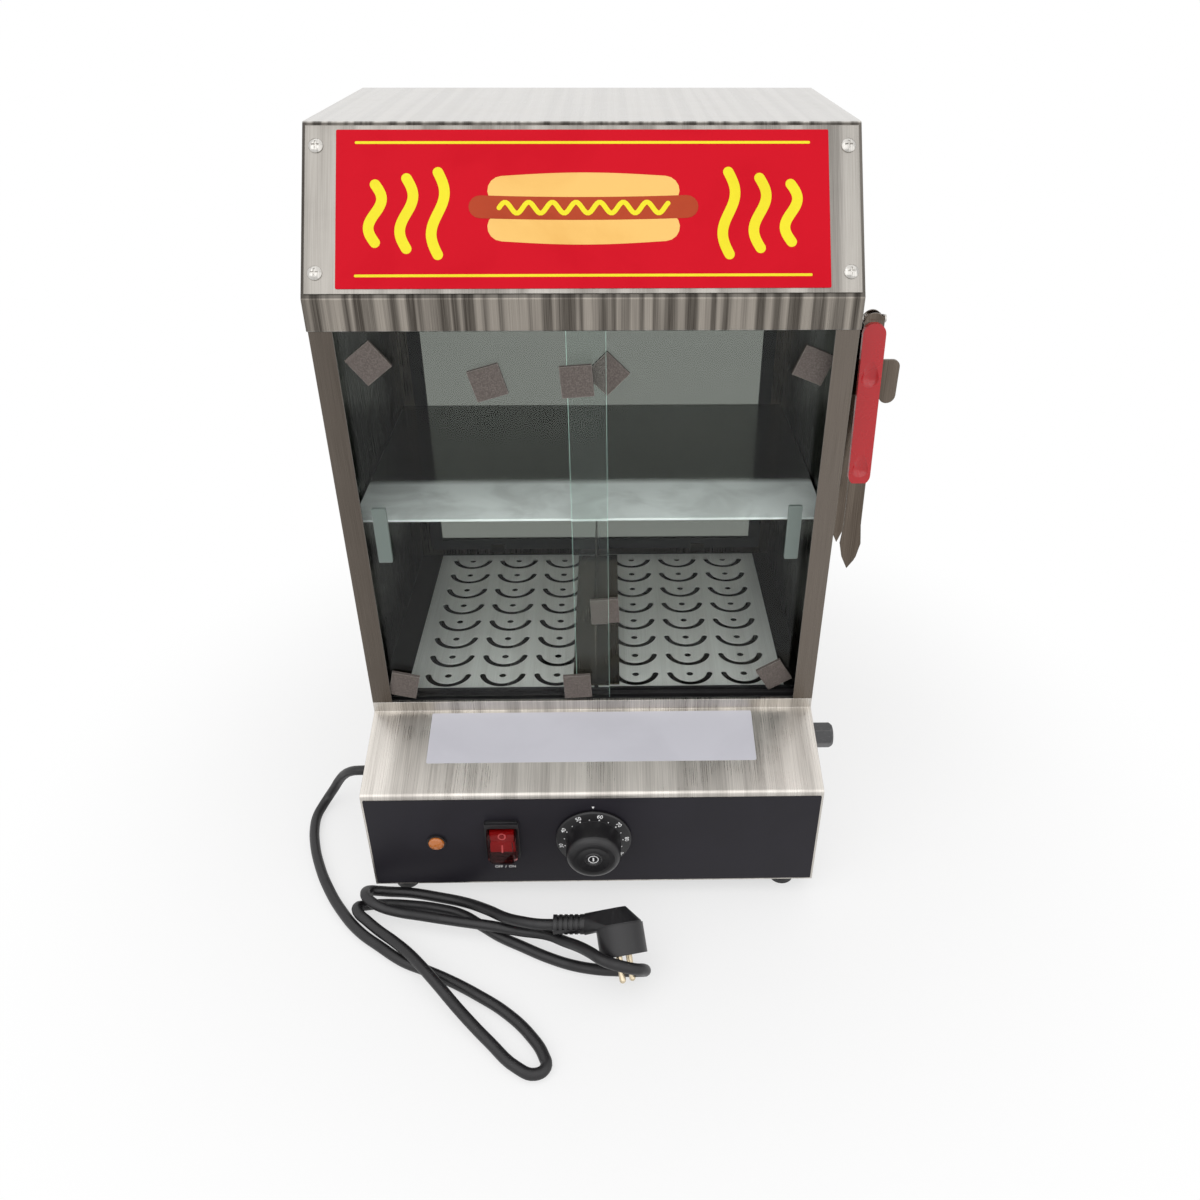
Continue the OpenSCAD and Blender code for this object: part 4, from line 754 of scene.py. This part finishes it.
def fascia_marks(work):
    """The pointer over the dial, and the switch's plain OFF and ON with a slash between them."""
    face = flat_on_front(0.0, 0.0, FASCIA_FACE)
    tip, top, half_width = 0.0990, 0.1014, 0.0011
    pointer = [(0.0, tip), (-half_width, top), (half_width, top)]
    slash = stroke([(-0.0724, 0.0342), (-0.0716, 0.0364)], 0.0004)
    for outline in (pointer, slash):
        add_film(work, outline, -PRINT_SINK, INK, face)
    letter_height, letter_middle, weight = 0.0026, 0.0353, 0.00002
    for words, x in (("OFF", -0.0776), ("ON", -0.0668)):
        add_words(work, words, letter_height, flat_on_front(x, letter_middle, FASCIA_FACE), weight)


keep("fascia_marks", fascia_marks, "mark_white", "cabinet")


ROCKER_REACH = 0.0124                    # from the pivot to the rocker's ends
ROCKER_DIP = 0.58                        # how far the face's middle stands ahead of the pivot, per reach
ROCKER_SLOPE = 0.22                      # how fast the face comes forward from there to each end


def on_rocker(height):
    """A place on the rocker's dished face, at that height over its pivot line."""
    lean = math.copysign(math.atan(ROCKER_SLOPE), height)
    depth = -ROCKER_DIP * ROCKER_REACH - ROCKER_SLOPE * abs(height)
    tipped = Matrix.Rotation(ROCKER_TILT, 4, "X")
    return (Matrix.Translation(at(*ROCKER_PIVOT)) @ tipped @ Matrix.Translation((0.0, depth, height))
            @ Matrix.Rotation(math.pi / 2 + lean, 4, "X"))


def rocker_marks(work):
    """The ring for off and the bar for on."""
    ring_height, bar_height, sink, rise = 0.0050, -0.0062, 0.00006, 0.00008
    outer = ring_points(0.0032, 0.0036, steps=28)
    inner = ring_points(0.0022, 0.0026, steps=28)
    add_ring(work, outer, inner, -sink, rise, on_rocker(ring_height))
    bar_width, bar_length, bar_corner = 0.0012, 0.0066, 0.0003
    add_film(work, rounded_outline(bar_width, bar_length, bar_corner), -sink, rise, on_rocker(bar_height))


keep("rocker_marks", rocker_marks, "mark_white", "rocker")


# ---------------------------------------------------------------- floor, backdrop and light
def seen_directly(tree):
    """1 for rays that show the surroundings: in view, in a mirror or through glass."""
    ray = tree.nodes.new("ShaderNodeLightPath")
    mirrored = maths(tree, "MAXIMUM", ray.outputs["Is Glossy Ray"], ray.outputs["Is Transmission Ray"])
    return maths(tree, "MAXIMUM", ray.outputs["Is Camera Ray"], mirrored)


SHADOW_ENDS = (0.26, 0.58)               # the counter turns to plain white between these radii
NEAR_WHITE = 0.62                        # how white it is already within the first


def counter_finish():
    """A plain pale counter: it takes the shadow near the object and turns to plain white further out."""
    material = bpy.data.materials.new("pale_counter")
    material.use_nodes = True
    tree = material.node_tree
    tree.nodes.clear()
    output = tree.nodes.new("ShaderNodeOutputMaterial")
    matt = tree.nodes.new("ShaderNodeBsdfPrincipled")
    matt.inputs["Base Color"].default_value = (0.93, 0.93, 0.93, 1.0)
    matt.inputs["Roughness"].default_value = 0.7
    matt.inputs["Specular IOR Level"].default_value = 0.1
    white = tree.nodes.new("ShaderNodeEmission")
    white.inputs["Strength"].default_value = 1.0
    length = tree.nodes.new("ShaderNodeVectorMath")
    length.operation = "LENGTH"
    tree.links.new(object_place(tree), length.inputs[0])
    away = spread(tree, length.outputs["Value"], *SHADOW_ENDS, NEAR_WHITE, 1.0)
    either = tree.nodes.new("ShaderNodeMixShader")
    tree.links.new(maths(tree, "MULTIPLY", away, seen_directly(tree)), either.inputs[0])
    tree.links.new(matt.outputs[0], either.inputs[1])
    tree.links.new(white.outputs[0], either.inputs[2])
    tree.links.new(either.outputs[0], output.inputs[0])
    return material


COUNTER_REACH = 30                       # from the middle to each edge
counter_corners = [(x * COUNTER_REACH, y * COUNTER_REACH, 0)
                   for x, y in ((-1, -1), (1, -1), (1, 1), (-1, 1))]
floor_mesh = bpy.data.meshes.new("counter")
floor_mesh.from_pydata(counter_corners, [], [(0, 1, 2, 3)])
floor_mesh.materials.append(counter_finish())
floor = bpy.data.objects.new("counter", floor_mesh)
floor.location.z = -0.0002               # clear of the undersides of the feet
bpy.context.scene.collection.objects.link(floor)

world = bpy.data.worlds.new("studio")
world.use_nodes = True
sky = world.node_tree
background = sky.nodes["Background"]
SKY_LIGHT = 0.58                         # the backdrop's strength where it only lights the object
strength = spread(sky, seen_directly(sky), 0.0, 1.0, SKY_LIGHT, 1.0)
sky.links.new(strength, background.inputs["Strength"])
background.inputs["Color"].default_value = (1.0, 1.0, 1.0, 1.0)
bpy.context.scene.world = world


def soft_lamp(name, place, aim, size, watts):
    """A rectangular lamp that shines from its place to its aim."""
    data = bpy.data.lights.new(name, "AREA")
    data.shape = "RECTANGLE"
    data.size, data.size_y = size
    data.energy = watts
    lamp = bpy.data.objects.new(name, data)
    lamp.location = place
    lamp.rotation_euler = (Vector(aim) - Vector(place)).to_track_quat("-Z", "Y").to_euler()
    bpy.context.scene.collection.objects.link(lamp)


soft_lamp("key_lamp", place=(-0.9, -1.5, 1.9), aim=(0, 0, 0.25), size=(3.2, 2.6), watts=22)
soft_lamp("fill_lamp", place=(1.3, -1.4, 1.2), aim=(0, 0, 0.25), size=(2.4, 2.0), watts=9.5)
soft_lamp("top_lamp", place=(0.1, 0.2, 2.2), aim=(0, 0, 0.3), size=(3.0, 2.4), watts=9)

bpy.context.scene.view_settings.view_transform = "Standard"

bpy.context.view_layer.update()
